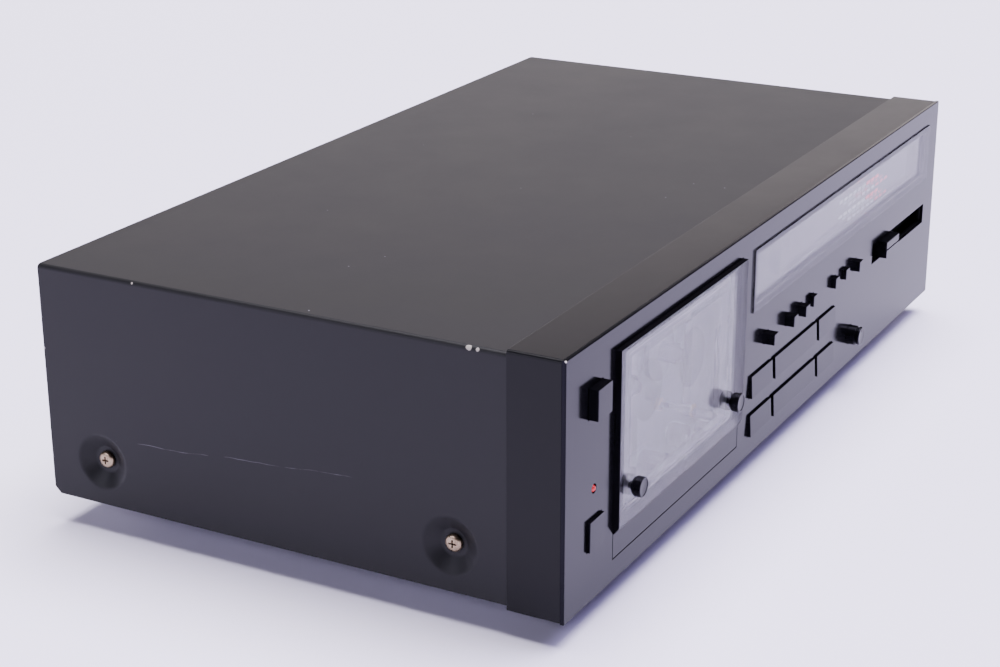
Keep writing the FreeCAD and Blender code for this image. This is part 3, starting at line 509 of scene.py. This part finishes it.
def startLine(name, point):
    # a plane merged to its middle: one point to draw an outline from
    deselectAll()
    bpy.ops.mesh.primitive_plane_add(size=mm, location=point)
    piece = bpy.context.object
    piece.name = name
    settle(piece)
    bpy.ops.object.mode_set(mode="EDIT")
    bpy.ops.mesh.select_mode(type="VERT")
    pickAll()
    bpy.ops.mesh.merge(type="CENTER")
    return piece


def drawLine(points):
    for a, b in zip(points, points[1:]):
        bpy.ops.mesh.extrude_region_move(TRANSFORM_OT_translate={"value": b - a})


def spinOutline(name, base, axis, outline, steps=48):
    # outline: (radius, distance along the axis) in mm, drawn and spun right round
    axis = Vector(axis)
    across = Vector((0, 0, 1)) if abs(axis.z) < 0.5 else Vector((1, 0, 0))
    points = [at(*base) + (across * r + axis * d) * mm for r, d in outline]
    piece = startLine(name, points[0])
    drawLine(points)
    pickAll()
    bpy.ops.mesh.spin(steps=steps, angle=2 * math.pi, center=at(*base), axis=axis)
    closeUp()
    return piece


def extrudeOutline(name, x0, x1, outline):
    # outline: closed (y, z) section in mm, drawn at x0 and run along X to x1
    points = [at(x0, y, z) for y, z in outline]
    piece = startLine(name, points[0])
    drawLine(points)
    pickAll()
    bpy.ops.mesh.edge_face_add()
    bpy.ops.mesh.extrude_region_move(TRANSFORM_OT_translate={"value": Vector((x1 - x0, 0, 0)) * mm})
    closeUp()
    return piece


def closeUp():
    # merges what a spin or an outline left doubled, and turns the faces outwards
    pickAll()
    bpy.ops.mesh.remove_doubles(threshold=mergeReach)
    bpy.ops.mesh.normals_make_consistent(inside=False)
    leaveEdit()


def joined(name, pieces):
    pickOnly(*pieces)
    if len(pieces) > 1:
        bpy.ops.object.join()
    piece = bpy.context.object
    piece.name = name
    return piece


def applied(piece, kind, **settings):
    modifier = piece.modifiers.new(kind.lower(), kind)
    for name, value in settings.items():
        setattr(modifier, name, value)
    pickOnly(piece)
    bpy.ops.object.modifier_apply(modifier=modifier.name)
    return piece


def cutAway(piece, tools):
    tool = joined(piece.name + "Tool", tools)
    applied(piece, "BOOLEAN", operation="DIFFERENCE", solver="EXACT", use_self=True, object=tool)
    bpy.data.objects.remove(tool)
    return piece


def softEdges(piece, width, angle=35, segments=2):
    return applied(piece, "BEVEL", width=width * mm, segments=segments, limit_method="ANGLE",
                   angle_limit=math.radians(angle), use_clamp_overlap=False)


def finishPiece(piece, finish, node, stands=(), angle=32):
    # smooths what lies within angle, then sets the finish, the body of a CAD node and the
    # nodes it stands for
    pickOnly(piece)
    bpy.ops.object.shade_smooth_by_angle(angle=math.radians(angle))
    applied(piece, "WEIGHTED_NORMAL", keep_sharp=True, weight=80)
    piece.data.materials.clear()
    piece.data.materials.append(finishes[finish])
    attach(piece, bodyOf[node])
    if stands:
        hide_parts(*stands)
    return piece


def softened(node, width=0.2, angle=35):
    # a copy of the CAD piece with its triangles merged and its edges broken
    source = nodes[node]
    pickOnly(source)
    bpy.ops.object.duplicate(linked=False)
    piece = bpy.context.object
    bpy.ops.object.parent_clear(type="CLEAR_KEEP_TRANSFORM")
    first, *others = node.split("_")
    piece.name = first + "".join(word.title() for word in others)
    bpy.ops.object.mode_set(mode="EDIT")
    bpy.ops.mesh.select_mode(type="VERT")
    pickAll()
    bpy.ops.mesh.remove_doubles(threshold=mergeReach)
    bpy.ops.mesh.dissolve_limited(angle_limit=math.radians(1))
    leaveEdit()
    softEdges(piece, width, angle)
    return finishPiece(piece, slotOf[node], node, [node])


# top cover: one bent sheet with four pressed screw dishes

cover = {
    "half": 221.1, "front": 24.9, "back": 247.2, "low": 13.3, "top": 117.4,
    "sheet": 1.0, "bend": 2.0, "cornerCut": 3.0,
    "dishYs": (50.0, 220.0), "dishZ": 33.0, "dishDepth": 4.0,
    "dish": [(13.2, 0), (12.6, 0.06), (12.0, 0.26), (11.4, 0.6), (10.7, 1.02), (6.6, 3.5),
             (6.0, 3.8), (5.2, 4.0), (1.9, 4.0)],
    "lipXs": (-190.0, 0.0, 190.0), "lipHalf": 9, "lipDrop": 12, "lipHoleDrop": 7,
}


def makeCover():
    half, low, top = cover["half"], cover["low"], cover["top"]
    shell = addBlock("coverShell", (-half, cover["front"], low), (half, cover["back"], top))
    pickEdges(shell, lambda a, b: a.z > top - 0.1 and b.z > top - 0.1 and abs(a.x - b.x) < 0.1)
    bevelPicked(cover["bend"], 6)
    # open it underneath, in front and behind, and leave the sides as bare outlines for the dishes
    pickFaces(shell, lambda c, n: n.z < -0.9 or abs(n.y) > 0.9)
    bpy.ops.mesh.delete(type="FACE")
    for side in (-1, 1):
        pickFaces(shell, lambda c, n: n.x * side > 0.9995)
        bpy.ops.mesh.delete(type="ONLY_FACE")
        leaveEdit()
    dishes = []
    for side in (-1, 1):
        for y in cover["dishYs"]:
            middle = (side * half, y, cover["dishZ"])
            dishes.append(spinOutline("dish", middle, (-side, 0, 0), cover["dish"]))
    shell = joined("coverShell", [shell, *dishes])
    rim = cover["dish"][0][0]
    for side in (-1, 1):
        def onSide(point):
            # on this side's bare outline or on the rim of one of its dishes
            if abs(point.x - side * half) > 0.01:
                return False
            reach = min(math.hypot(point.y - y, point.z - cover["dishZ"]) for y in cover["dishYs"])
            return reach > rim - 0.02
        pickEdges(shell, lambda a, b: onSide(a) and onSide(b))
        bpy.ops.mesh.fill(use_beauty=True)
        leaveEdit()
    pickOnly(shell)
    bpy.ops.object.mode_set(mode="EDIT")
    pickAll()
    bpy.ops.mesh.remove_doubles(threshold=mergeReach)
    # the two lower rear corners are cut off at a slant
    cut = cover["cornerCut"]
    bpy.ops.mesh.bisect(plane_co=at(0, cover["back"] - cut, low), plane_no=(0, 1, -1),
                        clear_outer=True)
    pickAll()
    bpy.ops.mesh.normals_make_consistent(inside=False)
    leaveEdit()
    upward = sum(face.normal.z * face.area for face in shell.data.polygons)
    if upward < 0:
        pickFaces(shell, lambda c, n: True)
        bpy.ops.mesh.flip_normals()
        leaveEdit()
    applied(shell, "SOLIDIFY", thickness=cover["sheet"] * mm, offset=-1, use_even_offset=True)
    softEdges(shell, 0.22, 60)
    lips = []
    back, wide = cover["back"], cover["lipHalf"]
    foot = top - cover["lipDrop"]
    for x in cover["lipXs"]:
        lip = addBlock("rearLip", (x - wide, back - cover["sheet"], foot),
                       (x + wide, back, top - 0.5))
        pickEdges(lip, lambda a, b: max(a.z, b.z) < foot + 0.1 and abs(a.y - b.y) > 0.5)
        bevelPicked(2.0, 4)
        hole = addRod("hole", (x, back, top - cover["lipHoleDrop"]), 1.7, 6)
        lips.append(softEdges(cutAway(lip, [hole]), 0.15, 60))
    shell = joined("coverShell", [shell, *lips])
    return finishPiece(shell, "cover_paint", "top_cover", ["top_cover"])


makeCover()
print("cover made")

# case screws: pan heads with a cross recess

screwKinds = {
    "side": dict(radius=3.8, high=2.2, shank=5.0),
    "rear": dict(radius=3.0, high=1.8, shank=5.0),
    "foot": dict(radius=3.6, high=2.0, shank=14.0),
}
recess = {"reach": 0.56, "halfWidth": 0.45, "depth": 1.3, "narrowing": 0.45}


def makeScrew(kind, base, axis):
    size = screwKinds[kind]
    r, h = size["radius"], size["high"]
    end = -size["shank"]
    outline = [(0, end), (1.1, end), (1.45, end + 0.5), (1.45, 0), (r - 0.15, 0), (r, 0.15),
               (r, h * 0.38), (r * 0.96, h * 0.6), (r * 0.85, h * 0.8), (r * 0.66, h * 0.94),
               (r * 0.4, h), (0, h)]
    screw = spinOutline("screw", base, axis, outline, 32)
    along = Vector(axis)
    tip = Vector(base) + along * h
    across = Vector((0, 0, 1)) if abs(along.z) < 0.5 else Vector((1, 0, 0))
    other = along.cross(across)
    recessFloor = tip - along * recess["depth"]
    slots = []
    for wide, thin in ((across, other), (other, across)):
        reach = wide * (r * recess["reach"]) + thin * recess["halfWidth"]
        a = recessFloor - reach
        b = tip + along * 0.6 + reach
        low = [min(p, q) for p, q in zip(a, b)]
        high = [max(p, q) for p, q in zip(a, b)]
        slot = addBlock("slot", low, high)
        # the recess narrows towards its floor
        pickFaces(slot, lambda c, n: n.dot(along) < -0.9)
        narrow = [1 if abs(part) > 0.5 else recess["narrowing"] for part in along]
        bpy.ops.transform.resize(value=narrow, center_override=at(*recessFloor))
        leaveEdit()
        slots.append(slot)
    for slot in slots:
        cutAway(screw, [slot])
    return screw


def makeCaseScrews():
    seat = cover["half"] - cover["dishDepth"]
    lipZ = cover["top"] - cover["lipHoleDrop"]
    screws = []
    for side in (-1, 1):
        for y in cover["dishYs"]:
            screws.append(makeScrew("side", (side * seat, y, cover["dishZ"]), (side, 0, 0)))
    for x in cover["lipXs"]:
        screws.append(makeScrew("rear", (x, cover["back"], lipZ), (0, 1, 0)))
    for x in (-feet["x"], feet["x"]):
        for y in feet["ys"]:
            screws.append(makeScrew("foot", (x, y, feet["screwZ"]), (0, 0, -1)))
    finishPiece(joined("caseScrews", screws), "screw_plating", "case_screws", ["case_screws"])


# feet: turned plastic cups with a soft pad under each

feet = {
    "x": 158.0, "ys": (52.0, 215.0), "screwZ": 3.0,
    "cup": [(2.2, 3.0), (6.5, 3.0), (6.5, 1.0), (7.0, 0.7), (19.6, 0.7), (20.6, 1.0), (21.3, 1.7),
            (21.9, 4.0), (22.4, 9.0), (22.6, 9.4), (22.6, 10.2), (23.0, 10.6), (23.0, 13.8),
            (2.2, 13.8), (2.2, 3.0)],
    "pad": [(8.5, 0.9), (8.5, 0.2), (8.8, 0.0), (18.6, 0.0), (19.0, 0.3), (19.0, 0.9)],
}


def makeFeet():
    cups = []
    for x in (-feet["x"], feet["x"]):
        for y in feet["ys"]:
            cups.append(spinOutline("footCup", (x, y, 0), (0, 0, 1), feet["cup"]))
            cups.append(spinOutline("footPad", (x, y, 0), (0, 0, 1), feet["pad"]))
    finishPiece(joined("feetCups", cups), "foot_plastic", "feet", ["feet"])


makeCaseScrews()
makeFeet()
print("screws and feet made")

# front panel: a plate with a broken rim and every opening cut through

panel = {
    "width": 443.0, "low": 11.0, "top": 118.8, "thick": 1.8, "rim": 0.4, "gap": 0.35,
    "door": (-179.6, -52.0, 20.45, 109.6),
    "display": (-36.0, 201.6, 83.0, 106.3),
    "slot": (123.2, 205.6, 55.0, 65.4),
    "light": (-196.9, 58.5, 2.0),  # x, z and radius of its hole
}

# span: x and z of a cap's edges, in mm; middle: x of a small square one; reach: how far it
# stands out; latched: how far it is held in at rest; stemEnd: y of the stem's end
pushButtons = {
    "eject_button": dict(span=(-202.6, -190.4, 88.8, 101.6), reach=4.2, latched=0.0,
                         stemEnd=22.9),
    "power_button": dict(span=(-202.6, -190.1, 33.6, 46.5), reach=1.4, latched=2.6,
                         stemEnd=26.0),
    "reset_button": dict(middle=-21.6, reach=5.2, latched=0.0, stemEnd=9.8),
    "input_button": dict(middle=5.2, reach=4.3, latched=0.0, stemEnd=9.8),
    "monitor_button": dict(middle=20.7, reach=4.2, latched=0.0, stemEnd=9.8),
    "memory_button": dict(middle=36.0, reach=2.3, latched=2.0, stemEnd=9.8),
    "filter_button": dict(middle=65.8, reach=2.4, latched=2.0, stemEnd=9.8),
    "noise_button": dict(middle=81.0, reach=2.2, latched=2.0, stemEnd=9.8),
    "bias_button": dict(middle=95.8, reach=3.9, latched=0.0, stemEnd=9.8),
}
smallButton = {"size": 5.2, "z": 63.0}
collar = {"front": 4.05, "thick": 1.0}  # the flange behind every cap, against the panel's back

transportKeys = {
    "columns": ((-39.6, -14.6), (-11.4, 42.2), (45.4, 68.3)),
    "rows": ((39.4, 49.9), (20.8, 31.2)),
    "names": (("rewind_key", "play_key", "forward_key"), ("record_key", "stop_key", "pause_key")),
    "lowReach": 1.7, "topReach": 1.05, "stem": 3.2, "stemEnd": 10.0,
}

knob = {
    "x": 94.2, "z": 26.6, "reach": 6.6, "hole": 5.25, "shaftRadius": 1.5, "shaftYs": (4.0, 14.0),
    "outline": [(0, 0.12), (3.6, 0.12), (4.0, 0.0), (4.35, 0.05), (4.62, 0.28), (4.7, 0.55),
                (4.7, 1.25), (4.58, 1.45), (4.3, 1.6), (4.3, 2.0), (4.6, 2.15), (4.84, 2.3),
                (4.9, 2.5), (4.9, 11.4), (0, 11.4)],
}


def buttonSpan(cap):
    if "span" in cap:
        return cap["span"]
    x, z, half = cap["middle"], smallButton["z"], smallButton["size"] / 2
    return (x - half, x + half, z - half, z + half)


def slab(x0, x1, z0, z1, y0=-2.0, y1=4.0, grow=0.0):
    # a block that cuts an opening through a panel
    return addBlock("opening", (x0 - grow, y0, z0 - grow), (x1 + grow, y1, z1 + grow))


def makePanel():
    half, gap = panel["width"] / 2, panel["gap"]
    plate = addBlock("frontPanelPlate", (-half, 0, panel["low"]),
                     (half, panel["thick"], panel["top"]))
    pickEdges(plate, lambda a, b: a.y < 0.01 and b.y < 0.01)
    bevelPicked(panel["rim"], 3)
    openings = [slab(*panel["door"]), slab(*panel["display"]), slab(*panel["slot"])]
    for cap in pushButtons.values():
        openings.append(slab(*buttonSpan(cap), grow=gap))
    keysLeft, keysRight = transportKeys["columns"][0][0], transportKeys["columns"][-1][1]
    for low, high in transportKeys["rows"]:
        openings.append(slab(keysLeft, keysRight, low, high, grow=gap))
    openings.append(addRod("opening", (knob["x"], 1, knob["z"]), knob["hole"], 6, 48))
    lightX, lightZ, lightRadius = panel["light"]
    openings.append(addRod("opening", (lightX, 1, lightZ), lightRadius, 6, 32))
    cutAway(plate, openings)
    softEdges(plate, 0.12, 60)
    return finishPiece(plate, "panel_finish", "front_panel", ["front_panel"])


def makePushButton(node, cap):
    x0, x1, z0, z1 = buttonSpan(cap)
    wide, high = x1 - x0, z1 - z0
    x, z = (x0 + x1) / 2, (z0 + z1) / 2
    front = collar["front"] + cap["latched"]
    back = front + collar["thick"]
    flangeWide, flangeHigh = wide + 1.9, high + 1.9
    stem = 2.8
    piece = addBlock(node.split("_")[0] + "Button", (x0, -cap["reach"], z0), (x1, front, z1))
    pickEdges(piece, lambda a, b: a.y < 0 and b.y < 0)
    bevelPicked(0.35, 3)
    pickEdges(piece, lambda a, b: abs(a.y - b.y) > 2)
    bevelPicked(0.15, 2)
    pickFaces(piece, lambda c, n: n.y > 0.9)
    stepFace((x, front, z), (flangeWide / wide, 1, flangeHigh / high), (0, collar["thick"], 0))
    stepFace((x, back, z), (stem / flangeWide, 1, stem / flangeHigh), (0, cap["stemEnd"] - back, 0))
    leaveEdit()
    return finishPiece(piece, "key_plastic", node, [node])


def makeTransportKey(node, x0, x1, z0, z1):
    wide, high = x1 - x0, z1 - z0
    x, z = (x0 + x1) / 2, (z0 + z1) / 2
    front, topReach = collar["front"], transportKeys["topReach"]
    back = front + collar["thick"]
    flangeWide, flangeHigh = wide - 2, high + 2.4
    stem = transportKeys["stem"]
    piece = addBlock(node.split("_")[0] + "Key", (x0, -topReach, z0), (x1, front, z1))
    # the face leans out towards its lower edge
    pickEdges(piece, lambda a, b: a.y < 0 and b.y < 0 and a.z < z and b.z < z)
    lean = transportKeys["lowReach"] - topReach
    bpy.ops.transform.translate(value=Vector((0, -lean, 0)) * mm)
    leaveEdit()
    pickEdges(piece, lambda a, b: a.y < 0 and b.y < 0)
    bevelPicked(0.22, 3)
    pickFaces(piece, lambda c, n: n.y > 0.9)
    stepFace((x, front, z), (flangeWide / wide, 1, flangeHigh / high), (0, collar["thick"], 0))
    run = transportKeys["stemEnd"] - back
    stepFace((x, back, z), (stem / flangeWide, 1, stem / flangeHigh), (0, run, 0))
    leaveEdit()
    return finishPiece(piece, "key_plastic", node, [node])


makePanel()
for node, cap in pushButtons.items():
    makePushButton(node, cap)
for (z0, z1), names in zip(transportKeys["rows"], transportKeys["names"]):
    for (x0, x1), node in zip(transportKeys["columns"], names):
        makeTransportKey(node, x0, x1, z0, z1)
print("panel, buttons and keys made")

# output knob, level slider, power light

slider = {
    "x0": 133.6, "x1": 152.6, "stemHalf": 2.2, "stemYs": (5.0, 10.4), "stemZs": (59.5, 60.9),
    "outline": [(-4.1, 55.7), (-4.3, 55.9), (-4.3, 59.8), (-4.15, 60.0), (-3.8, 60.2),
                (-4.15, 60.4), (-4.3, 60.6), (-4.3, 63.8), (-4.22, 64.15), (-4.0, 64.45),
                (-3.7, 64.6), (5.4, 64.6), (5.4, 55.7)],
}
powerLight = {
    "outline": [(0, -0.6), (0.42, -0.53), (0.8, -0.36), (1.15, -0.06), (1.38, 0.35), (1.48, 0.8),
                (1.5, 1.2), (1.5, 3.9), (2.0, 3.9), (2.0, 5.4), (0, 5.4)],
}


def makeKnob():
    outline = [(r, d - knob["reach"]) for r, d in knob["outline"]]
    piece = spinOutline("outputKnob", (knob["x"], 0, knob["z"]), (0, 1, 0), outline, 64)
    y0, y1 = knob["shaftYs"]
    shaft = addRod("shaft", (knob["x"], (y0 + y1) / 2, knob["z"]), knob["shaftRadius"], y1 - y0)
    # a shallow pointer cut across the rim of the face
    halfWidth, depth = 0.35, 0.45
    cutAway(piece, [addBlock(
        "pointer", (knob["x"] - halfWidth, -knob["reach"] - 1, knob["z"] + 2.2),
        (knob["x"] + halfWidth, -knob["reach"] + depth, knob["z"] + 6))])
    finishPiece(joined("outputKnob", [piece, shaft]), "knob_gloss", "output_knob", ["output_knob"])


def makeSlider():
    cap = extrudeOutline("levelSliderCap", slider["x0"], slider["x1"], slider["outline"])
    softEdges(cap, 0.25, 50)
    x, half = (slider["x0"] + slider["x1"]) / 2, slider["stemHalf"]
    (y0, y1), (z0, z1) = slider["stemYs"], slider["stemZs"]
    stem = addBlock("stem", (x - half, y0, z0), (x + half, y1, z1))
    softEdges(stem, 0.1)
    cap = joined("levelSliderCap", [cap, stem])
    finishPiece(cap, "knob_gloss", "level_slider", ["level_slider"])


def makePowerLight():
    x, z, _ = panel["light"]
    lens = spinOutline("powerLightLens", (x, 0, z), (0, 1, 0), powerLight["outline"], 32)
    finishPiece(lens, "led_red", "power_light", ["power_light"])


makeKnob()
makeSlider()
makePowerLight()

# display: acrylic window, the tube behind it and its lit meter bars

display = {
    "span": (-40.0, 205.6, 80.0, 109.3), "reach": 0.9, "plugInset": (4.2, 3.2),
    "barRows": (88.6, 96.2), "barFirst": 84.0, "barStep": 6.6, "barSize": (4.6, 1.5),
    "barYs": (5.05, 5.38), "barCount": 9, "redFrom": 6,
}


def makeDisplay():
    x0, x1, z0, z1 = display["span"]
    face = addBlock("displayWindowFace", (x0, -display["reach"], z0), (x1, 0, z1))
    pickEdges(face, lambda a, b: a.y < -0.5 and b.y < -0.5)
    bevelPicked(0.25, 3)
    # a smaller step behind it fills the panel's opening
    insetX, insetZ = display["plugInset"]
    wide, high = x1 - x0, z1 - z0
    grow = ((wide - 2 * insetX) / wide, 1, (high - 2 * insetZ) / high)
    pickFaces(face, lambda c, n: n.y > 0.9)
    stepFace(((x0 + x1) / 2, 0, (z0 + z1) / 2), grow, (0, panel["thick"], 0))
    leaveEdit()
    finishPiece(face, "display_acrylic", "display_window", ["display_window"])
    barWide, barHigh = display["barSize"]
    y0, y1 = display["barYs"]
    redFrom = display["redFrom"]
    for colour, start, stop in (("White", 0, redFrom), ("Red", redFrom, display["barCount"])):
        bars = []
        for z in display["barRows"]:
            for i in range(start, stop):
                x = display["barFirst"] + i * display["barStep"]
                bar = addBlock("bar", (x, y0, z), (x + barWide, y1, z + barHigh))
                bars.append(softEdges(bar, 0.1))
        finishPiece(joined("meterBars" + colour, bars), "meter" + colour, "display_tube")


makeDisplay()
softened("display_tube", 0.4)
softened("front_frame", 0.25, 60)
print("display and frame made")

# door: window, rim, thumb screws and the cassette holder behind it

doorGlass = {
    "x0": -178.5, "x1": -53.1, "screwXs": (-165.8, -65.8), "screwZ": 48.0, "screwHole": 1.6,
    "outline": [(0, 31.0), (-2.5, 34.4), (-2.5, 108.5), (0, 108.5)],
}
thumbScrew = {
    "shoulder": -6.9,
    "outline": [(0, 0.3), (3.2, 0.3), (3.45, 0.2), (3.7, 0.0), (3.95, 0.0), (4.15, 0.1),
                (4.25, 0.3), (4.25, 3.2), (4.2, 3.4), (4.05, 3.6), (3.6, 3.85), (3.45, 4.0),
                (3.4, 4.3), (1.5, 4.3), (1.5, 6.4), (0, 6.4)],
}


def makeDoor():
    glass = extrudeOutline("doorWindowPane", doorGlass["x0"], doorGlass["x1"], doorGlass["outline"])
    z, hole = doorGlass["screwZ"], doorGlass["screwHole"]
    cutAway(glass, [addRod("hole", (x, -1, z), hole, 8) for x in doorGlass["screwXs"]])
    softEdges(glass, 0.2, 25, 3)
    finishPiece(glass, "window_acrylic", "door_window", ["door_window"], angle=25)
    for x, node in zip(doorGlass["screwXs"], ("thumb_screw_left", "thumb_screw_right")):
        outline = [(r, d + thumbScrew["shoulder"]) for r, d in thumbScrew["outline"]]
        name = "thumbScrew" + node.split("_")[-1].title()
        screw = spinOutline(name, (x, 0, z), (0, 1, 0), outline, 64)
        finishPiece(screw, "knob_gloss", node, [node])


makeDoor()
softened("door_frame", 0.15, 40)
softened("cassette_holder", 0.2)
softened("holder_springs", 0.08)
print("door made")

# tape mechanism behind the door

mechanismEdges = {
    "reel_left": 0.25, "reel_right": 0.25, "mech_plate": 0.25, "head_base": 0.2, "tape_heads": 0.4,
    "pinch_arm": 0.2, "pinch_roller": 0.5, "damper_gear": 0.1, "door_latch": 0.2,
}
for node, width in mechanismEdges.items():
    softened(node, width)
print("mechanism made")

# rear: panel, sockets and inlet

rear = {
    "half": 219.8, "low": 13.8, "top": 115.8, "front": 244.2, "thick": 1.2,
    "inlet": (168.8, 191.2, 38.3, 51.7), "jackHole": 4.8, "screwHole": 1.5,
    "vents": {"first": 96.0, "step": 6.0, "wide": 2.2, "count": 8, "low": 71.0, "high": 95.0},
}
sockets = {
    "xs": (-176.0, -160.0), "zs": (41.0, 57.0), "seat": 245.4,
    "blockYs": (228.2, 242.2), "blockMargin": 8,
    "shell": [(4.0, -3.2), (4.0, 0.0), (6.2, 0.0), (6.2, 0.9), (6.0, 1.2), (4.15, 1.2),
              (4.15, 10.4), (4.0, 10.8), (3.5, 10.8), (3.36, 10.6), (3.36, 2.0), (0, 2.0)],
    "core": [(3.34, 1.8), (3.34, 9.7), (3.1, 10.0), (1.9, 10.0), (1.65, 9.7), (1.65, 2.2),
             (0, 2.2)],
}


def makeRearPanel():
    y0, y1 = rear["front"], rear["front"] + rear["thick"]
    screwZ, screwHole = cover["top"] - cover["lipHoleDrop"], rear["screwHole"]
    plate = addBlock("rearPanel", (-rear["half"], y0, rear["low"]), (rear["half"], y1, rear["top"]))
    openings = []
    for x in sockets["xs"]:
        for z in sockets["zs"]:
            openings.append(addRod("opening", (x, y0, z), rear["jackHole"], 8, 40))
    for x in cover["lipXs"]:
        openings.append(addRod("opening", (x, y0, screwZ), screwHole, 8))
    openings.append(slab(*rear["inlet"], y0 - 4, y1 + 4))
    vents = rear["vents"]
    for i in range(vents["count"]):
        x = vents["first"] + i * vents["step"]
        vent = slab(x, x + vents["wide"], vents["low"], vents["high"], y0 - 4, y1 + 4)
        pickEdges(vent, lambda a, b: abs(a.y - b.y) > 2)
        bevelPicked(vents["wide"] * 0.48, 5)
        openings.append(vent)
    cutAway(plate, openings)
    # pads that close the gap between the panel and the cover's lips
    backs = []
    wide, low, high = cover["lipHalf"], cover["top"] - cover["lipDrop"], cover["top"] - 2
    lipY = cover["back"] - cover["sheet"]
    for x in cover["lipXs"]:
        back = addBlock("back", (x - wide, y1, low), (x + wide, lipY, high))
        backs.append(cutAway(back, [addRod("hole", (x, y1, screwZ), screwHole, 6)]))
    plate = joined("rearPanel", [softEdges(plate, 0.12, 60), *backs])
    finishPiece(plate, "rear_paint", "rear_panel", ["rear_panel"])


def makeSockets():
    shells = []
    cores = {"red": [], "white": []}
    for x in sockets["xs"]:
        for z, colour in zip(sockets["zs"], ("red", "white")):
            base = (x, sockets["seat"], z)
            shells.append(spinOutline("socketShell", base, (0, 1, 0), sockets["shell"], 40))
            cores[colour].append(spinOutline("socketCore", base, (0, 1, 0), sockets["core"], 40))
    (x0, x1), (z0, z1) = sockets["xs"], sockets["zs"]
    (y0, y1), edge = sockets["blockYs"], sockets["blockMargin"]
    block = addBlock("socketBlock", (x0 - edge, y0, z0 - edge), (x1 + edge, y1, z1 + edge))
    shells.append(softEdges(block, 0.8))
    finishPiece(joined("phonoShells", shells), "jack_nickel", "phono_jacks", ["phono_jacks"])
    for colour, pieces in cores.items():
        title = colour.title()
        finishPiece(joined("phonoCores" + title, pieces), "jackCore" + title, "phono_jacks")


makeRearPanel()
makeSockets()
softened("mains_inlet", 0.25)
softened("chassis_pan", 0.2, 60)
print("rear made")

# camera, floor and light

view = {
    "place": (-0.84940, -0.44075, 0.38898),
    "right": (0.47889, -0.87787, -0.00289),
    "up": (0.30522, 0.16342, 0.93815),
    "lens": 74.8, "sensor": 36, "clip": (0.01, 60),
}
camera = bpy.data.objects.new("viewCamera", bpy.data.cameras.new("viewCamera"))
bpy.context.scene.collection.objects.link(camera)
right = Vector(view["right"]).normalized()
up = Vector(view["up"]).normalized()
away = right.cross(up)
turn = Matrix((right, up, away)).transposed().to_4x4()
camera.matrix_world = Matrix.Translation(view["place"]) @ turn
camera.data.lens = view["lens"]
camera.data.sensor_width = view["sensor"]
camera.data.clip_start, camera.data.clip_end = view["clip"]
bpy.context.scene.camera = camera

# wide enough that its edge stays out of sight in low views
ground = {"size": 80, "colour": "#e6e1f4", "roughness": 0.7}
bpy.ops.mesh.primitive_plane_add(size=ground["size"], location=(0, 0, 0))
floor = bpy.context.object
floor.name = "paleFloor"
floorPaint, _, shader = newMaterial("paleFloorPaint")
shader.inputs["Base Color"].default_value = hexToLinear(ground["colour"])
shader.inputs["Roughness"].default_value = ground["roughness"]
floor.data.materials.append(floorPaint)

# the room: a pale band along the horizon, dim above it
room = {
    "band": "#e4e0f0", "bandStrength": 2.8, "bandTop": 0.04, "bandEnd": 0.14,
    "above": "#d6d2e8", "aboveStrength": 0.14,
}
world = bpy.data.worlds.new("paleRoom")
bpy.context.scene.world = world
world.use_nodes = True
tree = world.node_tree
tree.nodes.clear()
direction = addNode(tree, "TexCoord").outputs["Generated"]
height = addNode(tree, "SeparateXYZ", links={"Vector": direction})
upwards = addNode(tree, "MapRange", {"From Min": room["bandTop"], "From Max": room["bandEnd"]},
                  {"Value": height.outputs["Z"]})
glows = {}
for part in ("band", "above"):
    glow = {"Color": hexToLinear(room[part]), "Strength": room[part + "Strength"]}
    glows[part] = addNode(tree, "Background", glow).outputs["Background"]
mixed = addNode(tree, "MixShader", links={
    0: upwards.outputs["Result"], 1: glows["band"], 2: glows["above"]})
addNode(tree, "OutputWorld", links={"Surface": mixed.outputs["Shader"]})

lamps = {
    "rearSoftbox": dict(place=(2.15, 1.2, 0.5), aim=(0, 0, 0.1), size=(2.2, 0.7),
                        energy=11.0, colour="#fff2f2"),
    "leftGlow": dict(place=(-1.55, 0.75, 0.8), aim=(-0.2, 0.1, 0.05), size=(0.9, 0.5),
                     energy=12, colour="#e8e4ff"),
    "frontFill": dict(place=(0.7, -1.3, 1.9), aim=(0.1, -0.5, 0.0), size=(1.2, 1.2),
                      energy=40, colour="#c8beff"),
}
skylight = {"from": (0.5, -0.1, 2.6), "strength": 11.5, "angle": 50, "colour": "#f8f4ff"}


def placeLamp(name, kind, place, aim, colour, energy):
    light = bpy.data.lights.new(name, kind)
    light.energy = energy
    light.color = hexToLinear(colour)[:3]
    holder = bpy.data.objects.new(name, light)
    bpy.context.scene.collection.objects.link(holder)
    holder.location = place
    holder.rotation_euler = (Vector(aim) - Vector(place)).to_track_quat("-Z", "Y").to_euler()
    return light


for name, lamp in lamps.items():
    light = placeLamp(name, "AREA", lamp["place"], lamp["aim"], lamp["colour"], lamp["energy"])
    light.shape = "RECTANGLE"
    light.size, light.size_y = lamp["size"]
# one broad soft light from overhead, even over the whole floor
light = placeLamp("skylight", "SUN", skylight["from"], (0, 0, 0), skylight["colour"],
                  skylight["strength"])
light.angle = math.radians(skylight["angle"])
print("camera, floor and light placed")
